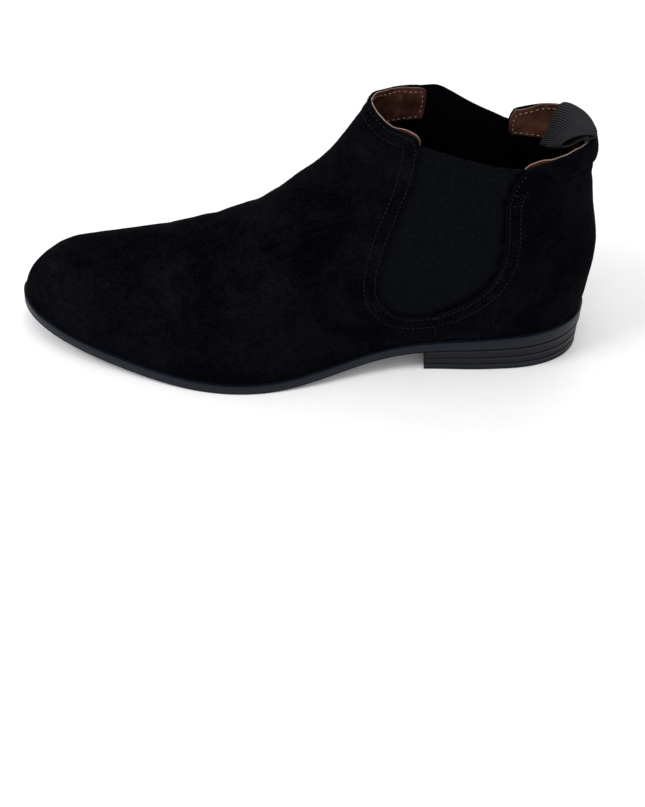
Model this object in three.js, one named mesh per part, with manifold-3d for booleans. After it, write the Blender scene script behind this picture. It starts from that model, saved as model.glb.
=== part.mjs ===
// Low slip-on ankle boot with elastic side panels, left foot, in millimetres.
// +X points to the toe, +Y to the outer side of the foot, +Z up.
// The origin is the middle of the part's footprint, on the ground.
// Side view outlines are drawn on a pattern boot and graded to the driving sizes,
// and every layer of the upper is the same skin set deeper by its own depth.
import * as THREE from "three";
import { mergeVertices } from "three/addons/utils/BufferGeometryUtils.js";
import Module from "manifold-3d";

const wasm = await Module();
wasm.setup();

// ---- driving sizes
const bootLength = 304.5; // heel back to toe, along the upper's lower edge
const ballWidth = 97; // upper, across the ball of the foot
const shaftHeight = 147; // ground to the front of the topline
const heelHeight = 17; // ground to the outsole at the back of the heel
const toeSpring = 13.4; // lift of the outsole at the toe
const soleThickness = 5.4; // outsole at the waist and forepart
const seatThickness = 9.6; // outsole at the back of the heel seat
const soleEdge = 1.3; // outsole beyond the upper
const gap = 0.3; // clearance between pieces that touch

const suedeThickness = 1.4;
const goreThickness = 1.2;
const stiffenerThickness = 1.2;
const liningThickness = 1;
const lastingMargin = 14; // the upper turned in under the insole board
const goreAllowance = 7.5; // gore held under the suede, round its opening

const insoleThickness = 2.5;
const sockThickness = 1.5;
const shankWidth = 15;
const shankThickness = 1.4;
const shankStart = 38;
const shankEnd = 150;

const heelFront = 89; // heel breast from the back of the boot
const heelInset = 0.6; // heel sides in from the outsole's edge
const breastHollow = 3; // the breast curves back this much at its middle
const topPieceShare = 0.29; // of the heel's height
const lowerLiftShare = 0.31;

const nailDiameter = 2.2;
const nailHeadDiameter = 4.6;
const nailHeadHeight = 1;
const nailTip = 5; // above the ground
const nailClearance = 0.3;

const tabWidth = 30;
const tapeThickness = 1.4;
const tabReach = 22; // pivot to the middle of the loop's round end
const tabLevel = 2; // run before the loop bends down
const tabBend = 8; // run over which it bends
const tabOpening = 6.6; // between the two layers of the loop
const tabSlope = 55; // degrees below level, past the bend
const tabBaseDepth = 22; // tape held between the back facing and the suede

// ---- depths of the layers below the outer face of the suede
const middleDepth = suedeThickness + gap;
const middleThickness = Math.max(goreThickness, stiffenerThickness);
const liningDepth = middleDepth + middleThickness + gap;
const insideDepth = liningDepth + liningThickness;

// ---- the pattern boot
const patternLength = 304.5;
const patternBallWidth = 97;
const patternShaft = 147;
const patternSeat = 25;
const toeX = 303;
const lengthGrade = bootLength / patternLength;
const widthGrade = ballWidth / patternBallWidth;
const heightGrade = (shaftHeight - patternSeat) / (patternShaft - patternSeat);

// Natural cubic spline through [place, value] pairs.
function curve(points) {
  const x = points.map((p) => p[0]);
  const y = points.map((p) => p[1]);
  const n = x.length;
  const slope = new Array(n).fill(0);
  const ratio = new Array(n).fill(0);
  const moment = new Array(n).fill(0);
  for (let i = 1; i < n - 1; i++) {
    const left = x[i] - x[i - 1];
    const right = x[i + 1] - x[i];
    const load = 6 * ((y[i + 1] - y[i]) / right - (y[i] - y[i - 1]) / left);
    const pivot = 2 * (left + right) - left * ratio[i - 1];
    ratio[i] = right / pivot;
    slope[i] = (load - left * slope[i - 1]) / pivot;
  }
  for (let i = n - 2; i > 0; i--) moment[i] = slope[i] - ratio[i] * moment[i + 1];
  return (at) => {
    const t = Math.min(Math.max(at, x[0]), x[n - 1]);
    let i = 0;
    while (i < n - 2 && t > x[i + 1]) i++;
    const h = x[i + 1] - x[i];
    const a = (x[i + 1] - t) / h;
    const b = (t - x[i]) / h;
    const bow = ((a ** 3 - a) * moment[i] + (b ** 3 - b) * moment[i + 1]) * (h * h) / 6;
    return a * y[i] + b * y[i + 1] + bow;
  };
}
const clamp01 = (t) => Math.min(Math.max(t, 0), 1);
function blend(from, to, at) {
  const t = clamp01((at - from) / (to - from));
  return t * t * (3 - 2 * t);
}

// Underside of the outsole and the line where the upper meets it.
const heelRise = curve([[-8, 1], [40, 0.85], [84, 0.735], [112, 0.555], [140, 0.265], [168, 0.046], [192, 0]]);
const ballX = 192;
const springCurve = 1.9;
function undersideAt(x) {
  const spring = clamp01((x - ballX) / (305 - ballX)) ** springCurve;
  return Math.max(0, heelHeight * (x < ballX ? heelRise(x) : 0)) + toeSpring * spring;
}
function soleThicknessAt(x) {
  return soleThickness + (seatThickness - soleThickness) * clamp01((88 - x) / 96);
}
const featherAt = (x) => undersideAt(x) + soleThicknessAt(x);
// The same line on the pattern boot, which the outlines are drawn on.
const patternFeather = curve([[-8, 26.6], [40, 21.9], [84, 18], [112, 14.7], [140, 9.9], [168, 6.2],
  [192, 5.4], [220, 6.3], [250, 9.1], [278, 13.4], [305, 18.8]]);

// Half widths of the bottom, outer and inner side of the foot, and its middle line.
const outerHalf = curve([[-8, 30.5], [30, 30.5], [60, 32], [88, 31.5], [115, 35], [150, 47.5], [185, 55.8],
  [215, 55.2], [250, 51.8], [301, 49]]);
const innerHalf = curve([[-8, 30.8], [30, 30.8], [60, 29], [88, 26.5], [115, 26.5], [150, 31.7], [185, 39.5],
  [215, 41.3], [250, 39.3], [301, 36]]);
const middleLine = curve([[-8, 0], [90, 0.2], [120, -0.2], [150, -1.8], [200, -5], [250, -11.6], [305, -14]]);
// Half width of the shaft by height.
const shaftHalf = curve([[0, 31], [45, 33], [75, 33], [105, 30.6], [125, 28.8], [150, 29.6]]);
// Back curve: place of the heel's middle line by height.
const backCurve = curve([[0, 3], [26, 0.8], [45, -0.6], [62, -1.5], [80, 0.9], [95, 4.7], [110, 7.2], [124, 8.3],
  [138, 10], [165, 11]]);
// Top line of the forepart and instep, and up the front of the shaft.
const instep = [[301, 44], [280, 47], [255, 51], [230, 57.3], [205, 67.8], [183, 79.4], [166, 93.4],
  [152, 106], [141, 119], [133, 132.8], [125.8, 147], [121.5, 165]];

// Sections of the upper fan out from a point above the instep.
const fanX = 190;
const fanZ = 150;
const fanRadius = 62;
const quarterTurn = (fanRadius * Math.PI) / 2;
const topZ = 165; // the skin is made up to here and cut to the topline
function fanPlace(x, z) {
  if (x >= fanX) return [fanX - x, fanZ - z];
  if (z >= fanZ) return [quarterTurn + z - fanZ, fanX - x];
  return [fanRadius * Math.atan2(fanX - x, fanZ - z), Math.hypot(fanX - x, fanZ - z)];
}
function fanPoint(u, r) {
  if (u <= 0) return [fanX - u, fanZ - r];
  if (u >= quarterTurn) return [fanX - r, fanZ + u - quarterTurn];
  return [fanX - r * Math.sin(u / fanRadius), fanZ - r * Math.cos(u / fanRadius)];
}
const toeRound = 98; // length over which the toe rounds in plan
const toeDrop = 29.5; // and over which its top falls
const toePlanPower = 2.1;
const heelRound = 41.5; // the same at the back of the heel
const heelPower = 2.2;
const shaftRound = 50.5; // depth over which the front of the shaft rounds
const ridgeBase = curve(instep.map(([x, z]) => fanPlace(x, z)).sort((a, b) => a[0] - b[0]));
const toeClosing = (x, over, power) => 1 - (1 - clamp01((toeX - x) / over)) ** power;
function ridgeAt(u) {
  const r = ridgeBase(u);
  if (u >= 0) return r;
  const x = fanX - u;
  const feather = patternFeather(x);
  const top = feather + (fanZ - r - feather) * Math.sqrt(toeClosing(x, toeDrop, 2));
  return fanZ - top;
}
const waistDepth = fanZ - ridgeAt(0) - patternFeather(fanX);
// Half width of the skin at a place in the side view. side is 1 outside, -1 inside.
function halfWidth(x, z, side) {
  const [u, r] = fanPlace(x, z);
  const ridge = ridgeAt(u);
  const depth = u <= 0 ? fanZ - ridge - patternFeather(x)
    : waistDepth + (shaftRound - waistDepth) * blend(0, quarterTurn, u);
  const down = clamp01((r - ridge) / Math.max(depth, 1e-6));
  const crown = 1 - (1 - down) ** (2 + 0.6 * blend(200, 290, x));
  const back = 1 - (1 - clamp01((x - backCurve(z)) / heelRound)) ** heelPower;
  const base = side > 0 ? outerHalf(x) : innerHalf(x);
  const up = blend(0, 85, z - patternFeather(x)) * (1 - blend(130, 190, x));
  const width = base + (shaftHalf(z) - base) * up;
  return width * Math.sqrt(Math.max(0, toeClosing(x, toeRound, toePlanPower) * back * crown));
}

// Grading: a place on the pattern boot's side view to the real boot.
const gradedX = (x) => x * lengthGrade;
function gradedZ(x, z) {
  return featherAt(x) + (z - patternFeather(x)) * heightGrade;
}
function skinPoint(x, z, side) {
  const y = middleLine(x) + side * halfWidth(x, z, side);
  return new THREE.Vector3(gradedX(x), y * widthGrade, gradedZ(x, z));
}

// ---- the skin as rows of points
const foreSections = 15;
const waistSections = 11;
const backSections = 8;
const rows = 8;
const skirt = 8; // the skin goes on below the outsole line and is cut there
function cornerAtSeat() {
  let z = 26;
  for (let i = 0; i < 20; i++) z = patternFeather(backCurve(z));
  return [backCurve(z), z];
}
// Each section is its place on the fan, where it ends, and whether it stands on the outsole.
function sections() {
  const list = [];
  for (let i = 0; i <= foreSections; i++) {
    const x = toeX - (toeX - fanX) * (1 - Math.cos((i / foreSections) * (Math.PI / 2)));
    list.push({ end: [x, patternFeather(x)], stands: true });
  }
  const corner = cornerAtSeat();
  for (let i = 1; i <= waistSections; i++) {
    const x = corner[0] + (fanX - corner[0]) * (1 - Math.sin((i / waistSections) * (Math.PI / 2)));
    const end = i === waistSections ? corner : [x, patternFeather(x)];
    list.push({ end, stands: true, corner: i === waistSections });
  }
  for (let i = 1; i <= backSections; i++) {
    const z = corner[1] + ((fanZ - corner[1]) * i) / backSections;
    list.push({ end: [backCurve(z), z], stands: false });
  }
  list.push({ end: [backCurve(topZ), topZ], stands: false });
  return list.map((s) => {
    const [u, r] = fanPlace(...s.end);
    return { ...s, u, r };
  });
}
const allSections = sections();

// One side of one section: from the ridge to its end, and the foot of the skirt.
function sectionPoints({ u, r, end, stands }, side) {
  const ridge = ridgeAt(u);
  const rear = blend(20, 70, u);
  const swing = ((1 + rear) / 2) * Math.PI;
  const points = [];
  for (let j = 0; j <= rows; j++) {
    const share = (1 - Math.cos((swing * j) / rows)) / (1 - Math.cos(swing));
    const [x, z] = j === rows ? end : fanPoint(u, ridge + (r - ridge) * share);
    const point = skinPoint(x, z, side);
    const closed = (j === 0 && u < quarterTurn + 99) || (j === rows && !stands);
    if (closed) point.y = middleLine(x) * widthGrade;
    points.push(point);
  }
  const foot = points[rows].clone();
  if (stands) foot.z -= skirt;
  points.push(foot);
  return points;
}

const skin = { 1: allSections.map((s) => sectionPoints(s, 1)), [-1]: allSections.map((s) => sectionPoints(s, -1)) };

// Outward direction of the skin at section i, row j.
function outward(i, j, side) {
  const last = allSections.length - 1;
  const { stands, corner, end } = allSections[i];
  if (i === 0) return new THREE.Vector3(1, 0, 0);
  if (corner && j >= rows) return new THREE.Vector3(-1, 0, 0);
  if (!stands && j >= rows) {
    const lean = (backCurve(end[1] + 1) - backCurve(end[1] - 1)) / 2;
    return new THREE.Vector3(-1, 0, lean).normalize();
  }
  const before = skin[side][i - 1][Math.min(j, rows)];
  const after = skin[side][Math.min(i + 1, last)][Math.min(j, rows)];
  const along = after.clone().sub(before);
  if (j >= rows) return new THREE.Vector3(-along.y, along.x, 0).multiplyScalar(-side).normalize();
  const above = j === 0 ? skin[-side][i][1] : skin[side][i][j - 1];
  const down = skin[side][i][j + 1].clone().sub(above);
  return down.cross(along).multiplyScalar(side).normalize();
}

// ---- solids
function solidFrom(positions) {
  const raw = new THREE.BufferGeometry();
  raw.setAttribute("position", new THREE.Float32BufferAttribute(positions, 3));
  const merged = mergeVertices(raw, 1e-4);
  const place = merged.attributes.position;
  const index = [];
  let volume = 0;
  const [a, b, c] = [new THREE.Vector3(), new THREE.Vector3(), new THREE.Vector3()];
  for (let i = 0; i < merged.index.count; i += 3) {
    const [p, q, r] = [0, 1, 2].map((k) => merged.index.getX(i + k));
    if (p === q || q === r || r === p) continue;
    index.push(p, q, r);
    a.fromBufferAttribute(place, p);
    b.fromBufferAttribute(place, q);
    c.fromBufferAttribute(place, r);
    volume += a.dot(b.cross(c));
  }
  if (volume < 0) index.reverse();
  const mesh = new wasm.Mesh({ numProp: 3, vertProperties: place.array, triVerts: new Uint32Array(index) });
  return new wasm.Manifold(mesh);
}
function solidOf(geometry) {
  const flat = geometry.index ? geometry.toNonIndexed() : geometry;
  return solidFrom(Array.from(flat.attributes.position.array));
}

// The whole skin set in by depth, open nowhere, from the skirt's foot to topZ.
function skinSolid(depth) {
  const set = {};
  for (const side of [1, -1]) {
    set[side] = skin[side].map((points, i) =>
      points.map((p, j) => p.clone().addScaledVector(outward(i, j, side), -depth)));
  }
  const out = [];
  const face = (a, b, c) => out.push(...a.toArray(), ...b.toArray(), ...c.toArray());
  const quad = (a, b, c, d) => {
    face(a, b, c);
    face(a, c, d);
  };
  const last = allSections.length - 1;
  for (let i = 0; i < last; i++) {
    const reach = allSections[i + 1].stands ? rows + 1 : rows;
    for (let j = 0; j < reach; j++) {
      const [L, M] = [set[1], set[-1]];
      quad(L[i][j], L[i][j + 1], L[i + 1][j + 1], L[i + 1][j]);
      quad(M[i][j], M[i + 1][j], M[i + 1][j + 1], M[i][j + 1]);
    }
    if (allSections[i + 1].stands) {
      const [L, M] = [set[1], set[-1]];
      quad(L[i][rows + 1], M[i][rows + 1], M[i + 1][rows + 1], L[i + 1][rows + 1]);
    }
  }
  for (let j = 0; j < rows; j++) {
    quad(set[1][last][j], set[1][last][j + 1], set[-1][last][j + 1], set[-1][last][j]);
  }
  return solidFrom(out);
}

// A prism through the boot from a side view outline already graded.
function sidePrism(outline, halfDepth = 90) {
  const shape = new THREE.Shape(outline.map(([x, z]) => new THREE.Vector2(x, z)));
  const geometry = new THREE.ExtrudeGeometry(shape, { depth: 2 * halfDepth, bevelEnabled: false });
  geometry.rotateX(Math.PI / 2);
  geometry.translate(0, halfDepth, 0);
  return solidOf(geometry);
}
function planPrism(outline, from = -5, to = 60) {
  const shape = new THREE.Shape(outline.map(([x, y]) => new THREE.Vector2(x, y)));
  const geometry = new THREE.ExtrudeGeometry(shape, { depth: to - from, bevelEnabled: false });
  geometry.translate(0, 0, from);
  return solidOf(geometry);
}
function box(x0, x1, y0, y1, z0, z1) {
  const geometry = new THREE.BoxGeometry(x1 - x0, y1 - y0, z1 - z0);
  geometry.translate((x0 + x1) / 2, (y0 + y1) / 2, (z0 + z1) / 2);
  return solidOf(geometry);
}
const graded = (outline) => outline.map(([x, z]) => [gradedX(x), gradedZ(x, z)]);

// Stations along the sole, closer together where it curves.
const soleStations = [-14, 10, 34, 58, 80, 96, 110, 124, 138, 152, 166, 180, 194, 208, 224, 240, 256, 272, 288, 318];
// Everything between two heights that follow the sole.
function band(lower, upper, stations = soleStations) {
  const bottom = stations.map((x) => [gradedX(x), lower(x)]);
  const top = stations.map((x) => [gradedX(x), upper(x)]).reverse();
  return sidePrism([...bottom, ...top]);
}
const aboveFeather = (rise) => band((x) => featherAt(x) + rise, () => 400);

// A layer of the upper between two depths, turned in over the outsole.
const skinCache = new Map();
function skinFrom(depth) {
  if (!skinCache.has(depth)) {
    skinCache.set(depth, skinSolid(depth).intersect(aboveFeather(gap + depth)));
  }
  return skinCache.get(depth);
}
const layer = (depth, thickness) => skinFrom(depth).subtract(skinFrom(depth + thickness));

// The upper's lower edge in plan, moved out by outset.
const planSteps = 16;
function featherOutline(outset) {
  const edge = [];
  const start = cornerAtSeat()[0];
  for (const side of [1, -1]) {
    for (let i = 0; i < 2 * planSteps; i++) {
      const t = side > 0 ? i / (2 * planSteps) : 1 - i / (2 * planSteps);
      const x = start + ((toeX - start) * (1 - Math.cos(Math.PI * t))) / 2;
      const width = i === 0 ? 0 : halfWidth(x, patternFeather(x), side);
      edge.push(new THREE.Vector2(gradedX(x), (middleLine(x) + side * width) * widthGrade));
    }
  }
  const moved = edge.map((p, i) => {
    const along = edge[(i + 1) % edge.length].clone().sub(edge[(i + edge.length - 1) % edge.length]);
    return p.clone().add(new THREE.Vector2(-along.y, along.x).normalize().multiplyScalar(outset));
  });
  // Where the edge turns tighter than it is moved in, the points that cross over are left out.
  const clear = 0.995 * Math.abs(outset);
  const kept = moved.filter((p) => edge.every((q) => p.distanceTo(q) >= clear));
  return kept.map((p) => [p.x, p.y]);
}
// The space inside the turned-in edge, under the insole board.
const bottomHole = (inset) => planPrism(featherOutline(-inset), -5, 80)
  .intersect(band((x) => featherAt(x) - skirt, (x) => featherAt(x) + 2 * gap + insideDepth));

// ---- outlines of the panels, on the pattern boot's side view
const seamX = 85; // side seam under the gore
const farDown = -20;
const rimZ = 134.8; // back of the topline
const outerCut = {
  front: [[102.6, 138.4], [102, 131], [104, 116], [107.8, 102], [112.5, 87], [115.6, 74], [117, 62],
    [116, 52], [111.5, 43.5], [104, 37.5], [95.5, 35.6], [seamX, 36.8]],
  back: [[seamX, 36.8], [76, 41], [67, 47.5], [59.5, 56], [55.2, 66], [53.6, 78], [54.4, 92],
    [55.6, 104], [54.6, 113], [51.5, 121], [47.6, 127]],
  vampTop: [[105, 142.2], [109, 143.6], [117, 144.2], [124, 147], [140, 153]],
  quarterTop: [[44, 129], [38, 131], [28, 133], [16, 134.4], [-30, rimZ]],
  goreTop: [[135, 143], [112, 139.2], [102.6, 137.6], [87, 134.2], [72, 129.8], [60, 127.2], [48, 126.2],
    [38, 126], [20, 125]],
};
// On the inner side the gore leans further back towards its top, and its top edge is steeper.
const goreLean = 8;
const innerCut = {
  front: outerCut.front.map(([x, z]) => [x - goreLean * blend(40, 130, z), z]),
  back: outerCut.back.map(([x, z]) => [x - goreLean * blend(40, 104, z) * (1 - 0.85 * blend(108, 128, z)), z]),
  vampTop: [[97, 141.2], [102, 142.2], [117, 144.2], [124, 147], [140, 153]],
  quarterTop: [[43.5, 128], [38, 129.8], [30, 132.4], [16, 134.4], [-30, rimZ]],
  goreTop: [[135, 146], [105, 142.6], [90, 142], [86.5, 141], [81, 137.9], [72.7, 133], [64.4, 128.6],
    [56, 125], [48.8, 122], [38, 121], [20, 120.5]],
};

const flip = (outline) => [...outline].reverse();
function vampZone(cut, setBack) {
  const seam = seamX + setBack;
  return [...cut.vampTop, [340, 153], [340, farDown], [seam, farDown], [seam, 36.8],
    ...flip(cut.front).slice(1)];
}
function quarterZone(cut, setBack) {
  const seam = seamX - setBack;
  return [[-30, farDown], [seam, farDown], [seam, 36.8], ...cut.back.slice(1), ...cut.quarterTop];
}
// The opening moved out by allowance, and cut off along the gore's own top edge.
function goreZone(cut, allowance) {
  const opening = [...cut.front, ...cut.back.slice(1)];
  const wide = opening.map(([x, z], i) => {
    const [ax, az] = opening[Math.max(i - 1, 0)];
    const [bx, bz] = opening[Math.min(i + 1, opening.length - 1)];
    const reach = Math.hypot(bx - ax, bz - az);
    return [x - ((bz - az) / reach) * allowance, z + ((bx - ax) / reach) * allowance];
  });
  const [front, back] = [wide[0], wide[wide.length - 1]];
  return [[front[0], 160], ...wide, [back[0], 160]];
}
const goreTopZone = (cut) => [...cut.goreTop, [20, farDown], [135, farDown]];
const counterZone = [[-30, 62], [20, 61], [34, 57.5], [42, 50], [49, 41], [57, 33.5], [61, 27], [61, farDown],
  [-30, farDown]];
const puffZone = [[250, farDown], [253, 20], [259, 40], [262, 80], [330, 80], [330, farDown]];
const frontFacingZone = [[60, 124], [150, 122], [150, 170], [60, 170]];
const backFacingZone = [[-30, 112], [70, 113], [70, 170], [-30, 170]];
const zone = (outline) => sidePrism(graded(outline));

// ---- materials
const finish = (color, roughness, metalness = 0) => new THREE.MeshStandardMaterial({ color, roughness, metalness });
const suede = finish(0x1d1e24, 0.95);
const elastic = finish(0x2c2d31, 0.9);
const textile = finish(0x121214, 0.95);
const brownLeather = finish(0x4a2e24, 0.55);
const webbing = finish(0x1a1a1d, 0.85);
const moulded = finish(0x232a33, 0.45);
const stackedHeel = finish(0x2a2b2f, 0.6);
const stiffBoard = finish(0x8a6a48, 0.9);
const steel = finish(0x9a9da1, 0.35, 1);

const boot = new THREE.Group();
function addPiece(name, solid, material) {
  const { vertProperties, triVerts } = solid.getMesh();
  const geometry = new THREE.BufferGeometry();
  geometry.setAttribute("position", new THREE.BufferAttribute(new Float32Array(vertProperties), 3));
  geometry.setIndex(new THREE.BufferAttribute(new Uint32Array(triVerts), 1));
  geometry.computeVertexNormals();
  const mesh = new THREE.Mesh(geometry, material);
  mesh.name = name;
  boot.add(mesh);
}

const outerSide = (clear) => box(-50, 400, clear / 2, 120, -20, 250);
const innerSide = (clear) => box(-50, 400, -120, -clear / 2, -20, 250);
const halves = (outlineOf) => zone(outlineOf(outerCut)).intersect(outerSide(0))
  .add(zone(outlineOf(innerCut)).intersect(innerSide(0)));
const vampShape = halves((cut) => vampZone(cut, gap / 2));
const quarterShape = halves((cut) => quarterZone(cut, gap / 2));

// ---- suede upper
const suedeLayer = layer(0, suedeThickness).subtract(bottomHole(lastingMargin));
addPiece("vamp", suedeLayer.intersect(vampShape), suede);
const quarters = suedeLayer.intersect(quarterShape);
addPiece("quarter_lateral", quarters.intersect(outerSide(gap)), suede);
addPiece("quarter_medial", quarters.intersect(innerSide(gap)), suede);

// ---- elastic gores and stiffeners share the middle layer
function gore(cut, half) {
  const shape = zone(goreZone(cut, goreAllowance)).intersect(zone(goreTopZone(cut)));
  return layer(middleDepth, goreThickness).intersect(shape).intersect(half);
}
addPiece("gore_lateral", gore(outerCut, outerSide(gap)), elastic);
addPiece("gore_medial", gore(innerCut, innerSide(gap)), elastic);
const stiffLayer = layer(middleDepth, stiffenerThickness).subtract(bottomHole(lastingMargin));
addPiece("heel_counter", stiffLayer.intersect(zone(counterZone)), stiffBoard);
addPiece("toe_puff", stiffLayer.intersect(zone(puffZone)), stiffBoard);

// ---- linings and leather facings
const liningLayer = layer(liningDepth, liningThickness).subtract(bottomHole(lastingMargin));
const frontLining = liningLayer.intersect(vampShape);
const backLining = liningLayer.intersect(quarterShape);
const lowered = (outline) => outline.map(([x, z]) => [x, z < 150 ? z - gap : z]);
addPiece("vamp_lining", frontLining.subtract(zone(lowered(frontFacingZone))), textile);
addPiece("front_facing", frontLining.intersect(zone(frontFacingZone)), brownLeather);
addPiece("quarter_lining", backLining.subtract(zone(lowered(backFacingZone))), textile);
addPiece("back_facing", backLining.intersect(zone(backFacingZone)), brownLeather);

// ---- bottom: outsole, filler, shank, insole board and sock liner, nailed heel
const insoleRise = gap + insideDepth + gap;
const soleShape = planPrism(featherOutline(soleEdge)).intersect(band(undersideAt, featherAt));
const lastBottom = skinFrom(insideDepth + gap);
const insoleShape = lastBottom.intersect(band((x) => featherAt(x) + insoleRise,
  (x) => featherAt(x) + insoleRise + insoleThickness));
const sockRise = insoleRise + insoleThickness + gap;
const sockShape = lastBottom.intersect(band((x) => featherAt(x) + sockRise,
  (x) => featherAt(x) + sockRise + sockThickness));
function shankShape(clear) {
  const half = shankWidth / 2 + clear;
  const plan = [[gradedX(shankStart) - clear, -half], [gradedX(shankEnd) + clear, -half],
    [gradedX(shankEnd) + clear, half], [gradedX(shankStart) - clear, half]];
  return planPrism(plan).intersect(band((x) => featherAt(x) + (clear ? 0 : gap),
    (x) => featherAt(x) + gap + shankThickness + clear));
}
const fillerShape = bottomHole(lastingMargin + gap).intersect(band((x) => featherAt(x) + gap,
  (x) => featherAt(x) + gap + insideDepth)).subtract(shankShape(gap));

// Heel: lifts stacked between the ground and the outsole.
const breast = 24;
function heelPlan() {
  const outline = [];
  const front = gradedX(heelFront);
  for (let i = 0; i <= breast; i++) {
    const y = 60 - (120 * i) / breast;
    outline.push([front - breastHollow * (1 - (y / 40) ** 2), y]);
  }
  return planPrism([[-40, 60], ...outline, [-40, -60]]);
}
const heelShape = planPrism(featherOutline(soleEdge - heelInset)).intersect(heelPlan());
const heelStations = soleStations.slice(0, soleStations.findIndex((x) => x > heelFront) + 1);
const lift = (from, to) => heelShape.intersect(band((x) => undersideAt(x) * from.share + from.up,
  (x) => undersideAt(x) * to.share - to.down, heelStations));
const splits = [0, topPieceShare, topPieceShare + lowerLiftShare, 1];
const lifts = [0, 1, 2].map((i) => lift({ share: splits[i], up: i ? gap / 2 : 0 },
  { share: splits[i + 1], down: i < 2 ? gap / 2 : gap }));

// Nails stand in a horseshoe round the seat and one near the breast.
const nailPlaces = [[26, 0], [44, 1], [44, -1], [68, 1], [68, -1]];
function nail([x, side], clear) {
  const turnedIn = halfWidth(x, patternFeather(x), side) * widthGrade - lastingMargin;
  const y = (side * (turnedIn + shankWidth / 2)) / 2; // midway between the shank and the turned-in edge
  const place = gradedX(x);
  const head = featherAt(x) + insoleRise + insoleThickness + gap / 2;
  const foot = nailTip - clear;
  const radius = nailDiameter / 2 + clear;
  const headRadius = nailHeadDiameter / 2 + clear;
  const neck = head - nailHeadHeight - clear;
  const top = clear ? head + 2 : head - gap / 2;
  const profile = [[0, foot], [radius * 0.4, foot], [radius, foot + 2], [radius, neck], [headRadius, neck],
    [headRadius, top], [0, top]].map(([r, z]) => new THREE.Vector2(r, z));
  const geometry = new THREE.LatheGeometry(profile, 8);
  geometry.rotateX(Math.PI / 2);
  geometry.translate(place, y, 0);
  return solidOf(geometry);
}
const nailHoles = nailPlaces.map((p) => nail(p, nailClearance));
const nailed = (solid) => nailHoles.reduce((rest, hole) => rest.subtract(hole), solid);
addPiece("outsole", nailed(soleShape), moulded);
addPiece("heel_top_piece", nailed(lifts[0]), moulded);
addPiece("heel_lift_lower", nailed(lifts[1]), stackedHeel);
addPiece("heel_lift_upper", nailed(lifts[2]), stackedHeel);
addPiece("bottom_filler", nailed(fillerShape), stiffBoard);
addPiece("shank", shankShape(0), steel);
addPiece("insole_board", nailed(insoleShape), stiffBoard);
addPiece("sock_liner", sockShape, brownLeather);
nailPlaces.forEach((p, i) => addPiece("heel_nail_" + (i + 1), nail(p, 0), steel));

// ---- pull tab: a webbing loop over the back of the topline, folded forward into the boot
const rimHeight = gradedZ(backCurve(rimZ), rimZ);
// The tape lies on the rim up to where its edges are clear of the curved wall, and bends there.
function wallReach() {
  const depth = insideDepth + 2 * gap;
  let reached = 0;
  for (const side of [1, -1]) {
    const wall = (x) => halfWidth(x, rimZ, side) * widthGrade;
    for (let x = backCurve(rimZ) + 1; x < fanX; x += 0.25) {
      const slope = (wall(x + 0.5) - wall(x - 0.5)) / lengthGrade;
      const lean = Math.hypot(1, slope);
      if (wall(x) - depth / lean < tabWidth / 2) continue;
      reached = Math.max(reached, gradedX(x) + (depth * slope) / lean);
      break;
    }
  }
  return reached;
}
const crest = { low: rimHeight + gap, high: rimHeight + gap + tapeThickness };
const tabPivot = { x: wallReach() - tapeThickness, z: crest.high + gap + tapeThickness };
const tapeLayer = layer(middleDepth, Math.min(tapeThickness, middleThickness))
  .intersect(box(-20, tabPivot.x + 10, -tabWidth / 2, tabWidth / 2, rimHeight - tabBaseDepth, crest.high));
const crestPlate = skinFrom(middleDepth)
  .intersect(box(-20, tabPivot.x, -tabWidth / 2, tabWidth / 2, crest.low, crest.high));
addPiece("pull_tab_base", tapeLayer.add(crestPlate), webbing);
// The loop bends down into the boot and turns back on itself.
function tabLoop() {
  const steps = 14;
  const middle = [[0, 0]];
  const angle = [0];
  for (let i = 1; i <= steps; i++) {
    const along = (tabReach * (i - 0.5)) / steps;
    angle.push((-tabSlope * blend(tabLevel, tabLevel + tabBend, along) * Math.PI) / 180);
    const [x, z] = middle[i - 1];
    const step = tabReach / steps;
    middle.push([x + step * Math.cos(angle[i]), z + step * Math.sin(angle[i])]);
  }
  const open = (i) => (tabOpening / 2) * blend(0.15, 0.5, i / steps);
  const beside = (i, reach) => {
    const [x, z] = middle[i];
    return new THREE.Vector2(x - reach * Math.sin(angle[i]), z + reach * Math.cos(angle[i]));
  };
  const round = (radius) => [-60, -30, 0, 30, 60].map((turn) => {
    const way = angle[steps] + (turn * Math.PI) / 180;
    const [x, z] = middle[steps];
    return new THREE.Vector2(x + radius * Math.cos(way), z + radius * Math.sin(way));
  });
  const places = middle.map((_, i) => i);
  const lower = places.map((i) => beside(i, -(open(i) + tapeThickness)));
  const upper = places.map((i) => beside(i, open(i) + tapeThickness)).reverse();
  const outer = new THREE.Shape([...lower, ...round(tabOpening / 2 + tapeThickness), ...upper]);
  const wide = places.filter((i) => open(i) > 0.2);
  outer.holes.push(new THREE.Path([...wide.map((i) => beside(i, -open(i))), ...round(tabOpening / 2),
    ...wide.reverse().map((i) => beside(i, open(i)))]));
  const geometry = new THREE.ExtrudeGeometry(outer, { depth: tabWidth, bevelEnabled: false });
  geometry.rotateX(Math.PI / 2);
  geometry.translate(tabPivot.x, tabWidth / 2, tabPivot.z);
  return solidOf(geometry);
}
addPiece("pull_tab_loop", tabLoop(), webbing);

// The origin goes to the middle of the footprint.
const size = new THREE.Box3().setFromObject(boot);
boot.position.set(-(size.min.x + size.max.x) / 2, -(size.min.y + size.max.y) / 2, -size.min.z);

export default boot;
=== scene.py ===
import math

import bmesh
import bpy
import numpy as np
from mathutils import Matrix, Vector


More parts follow.
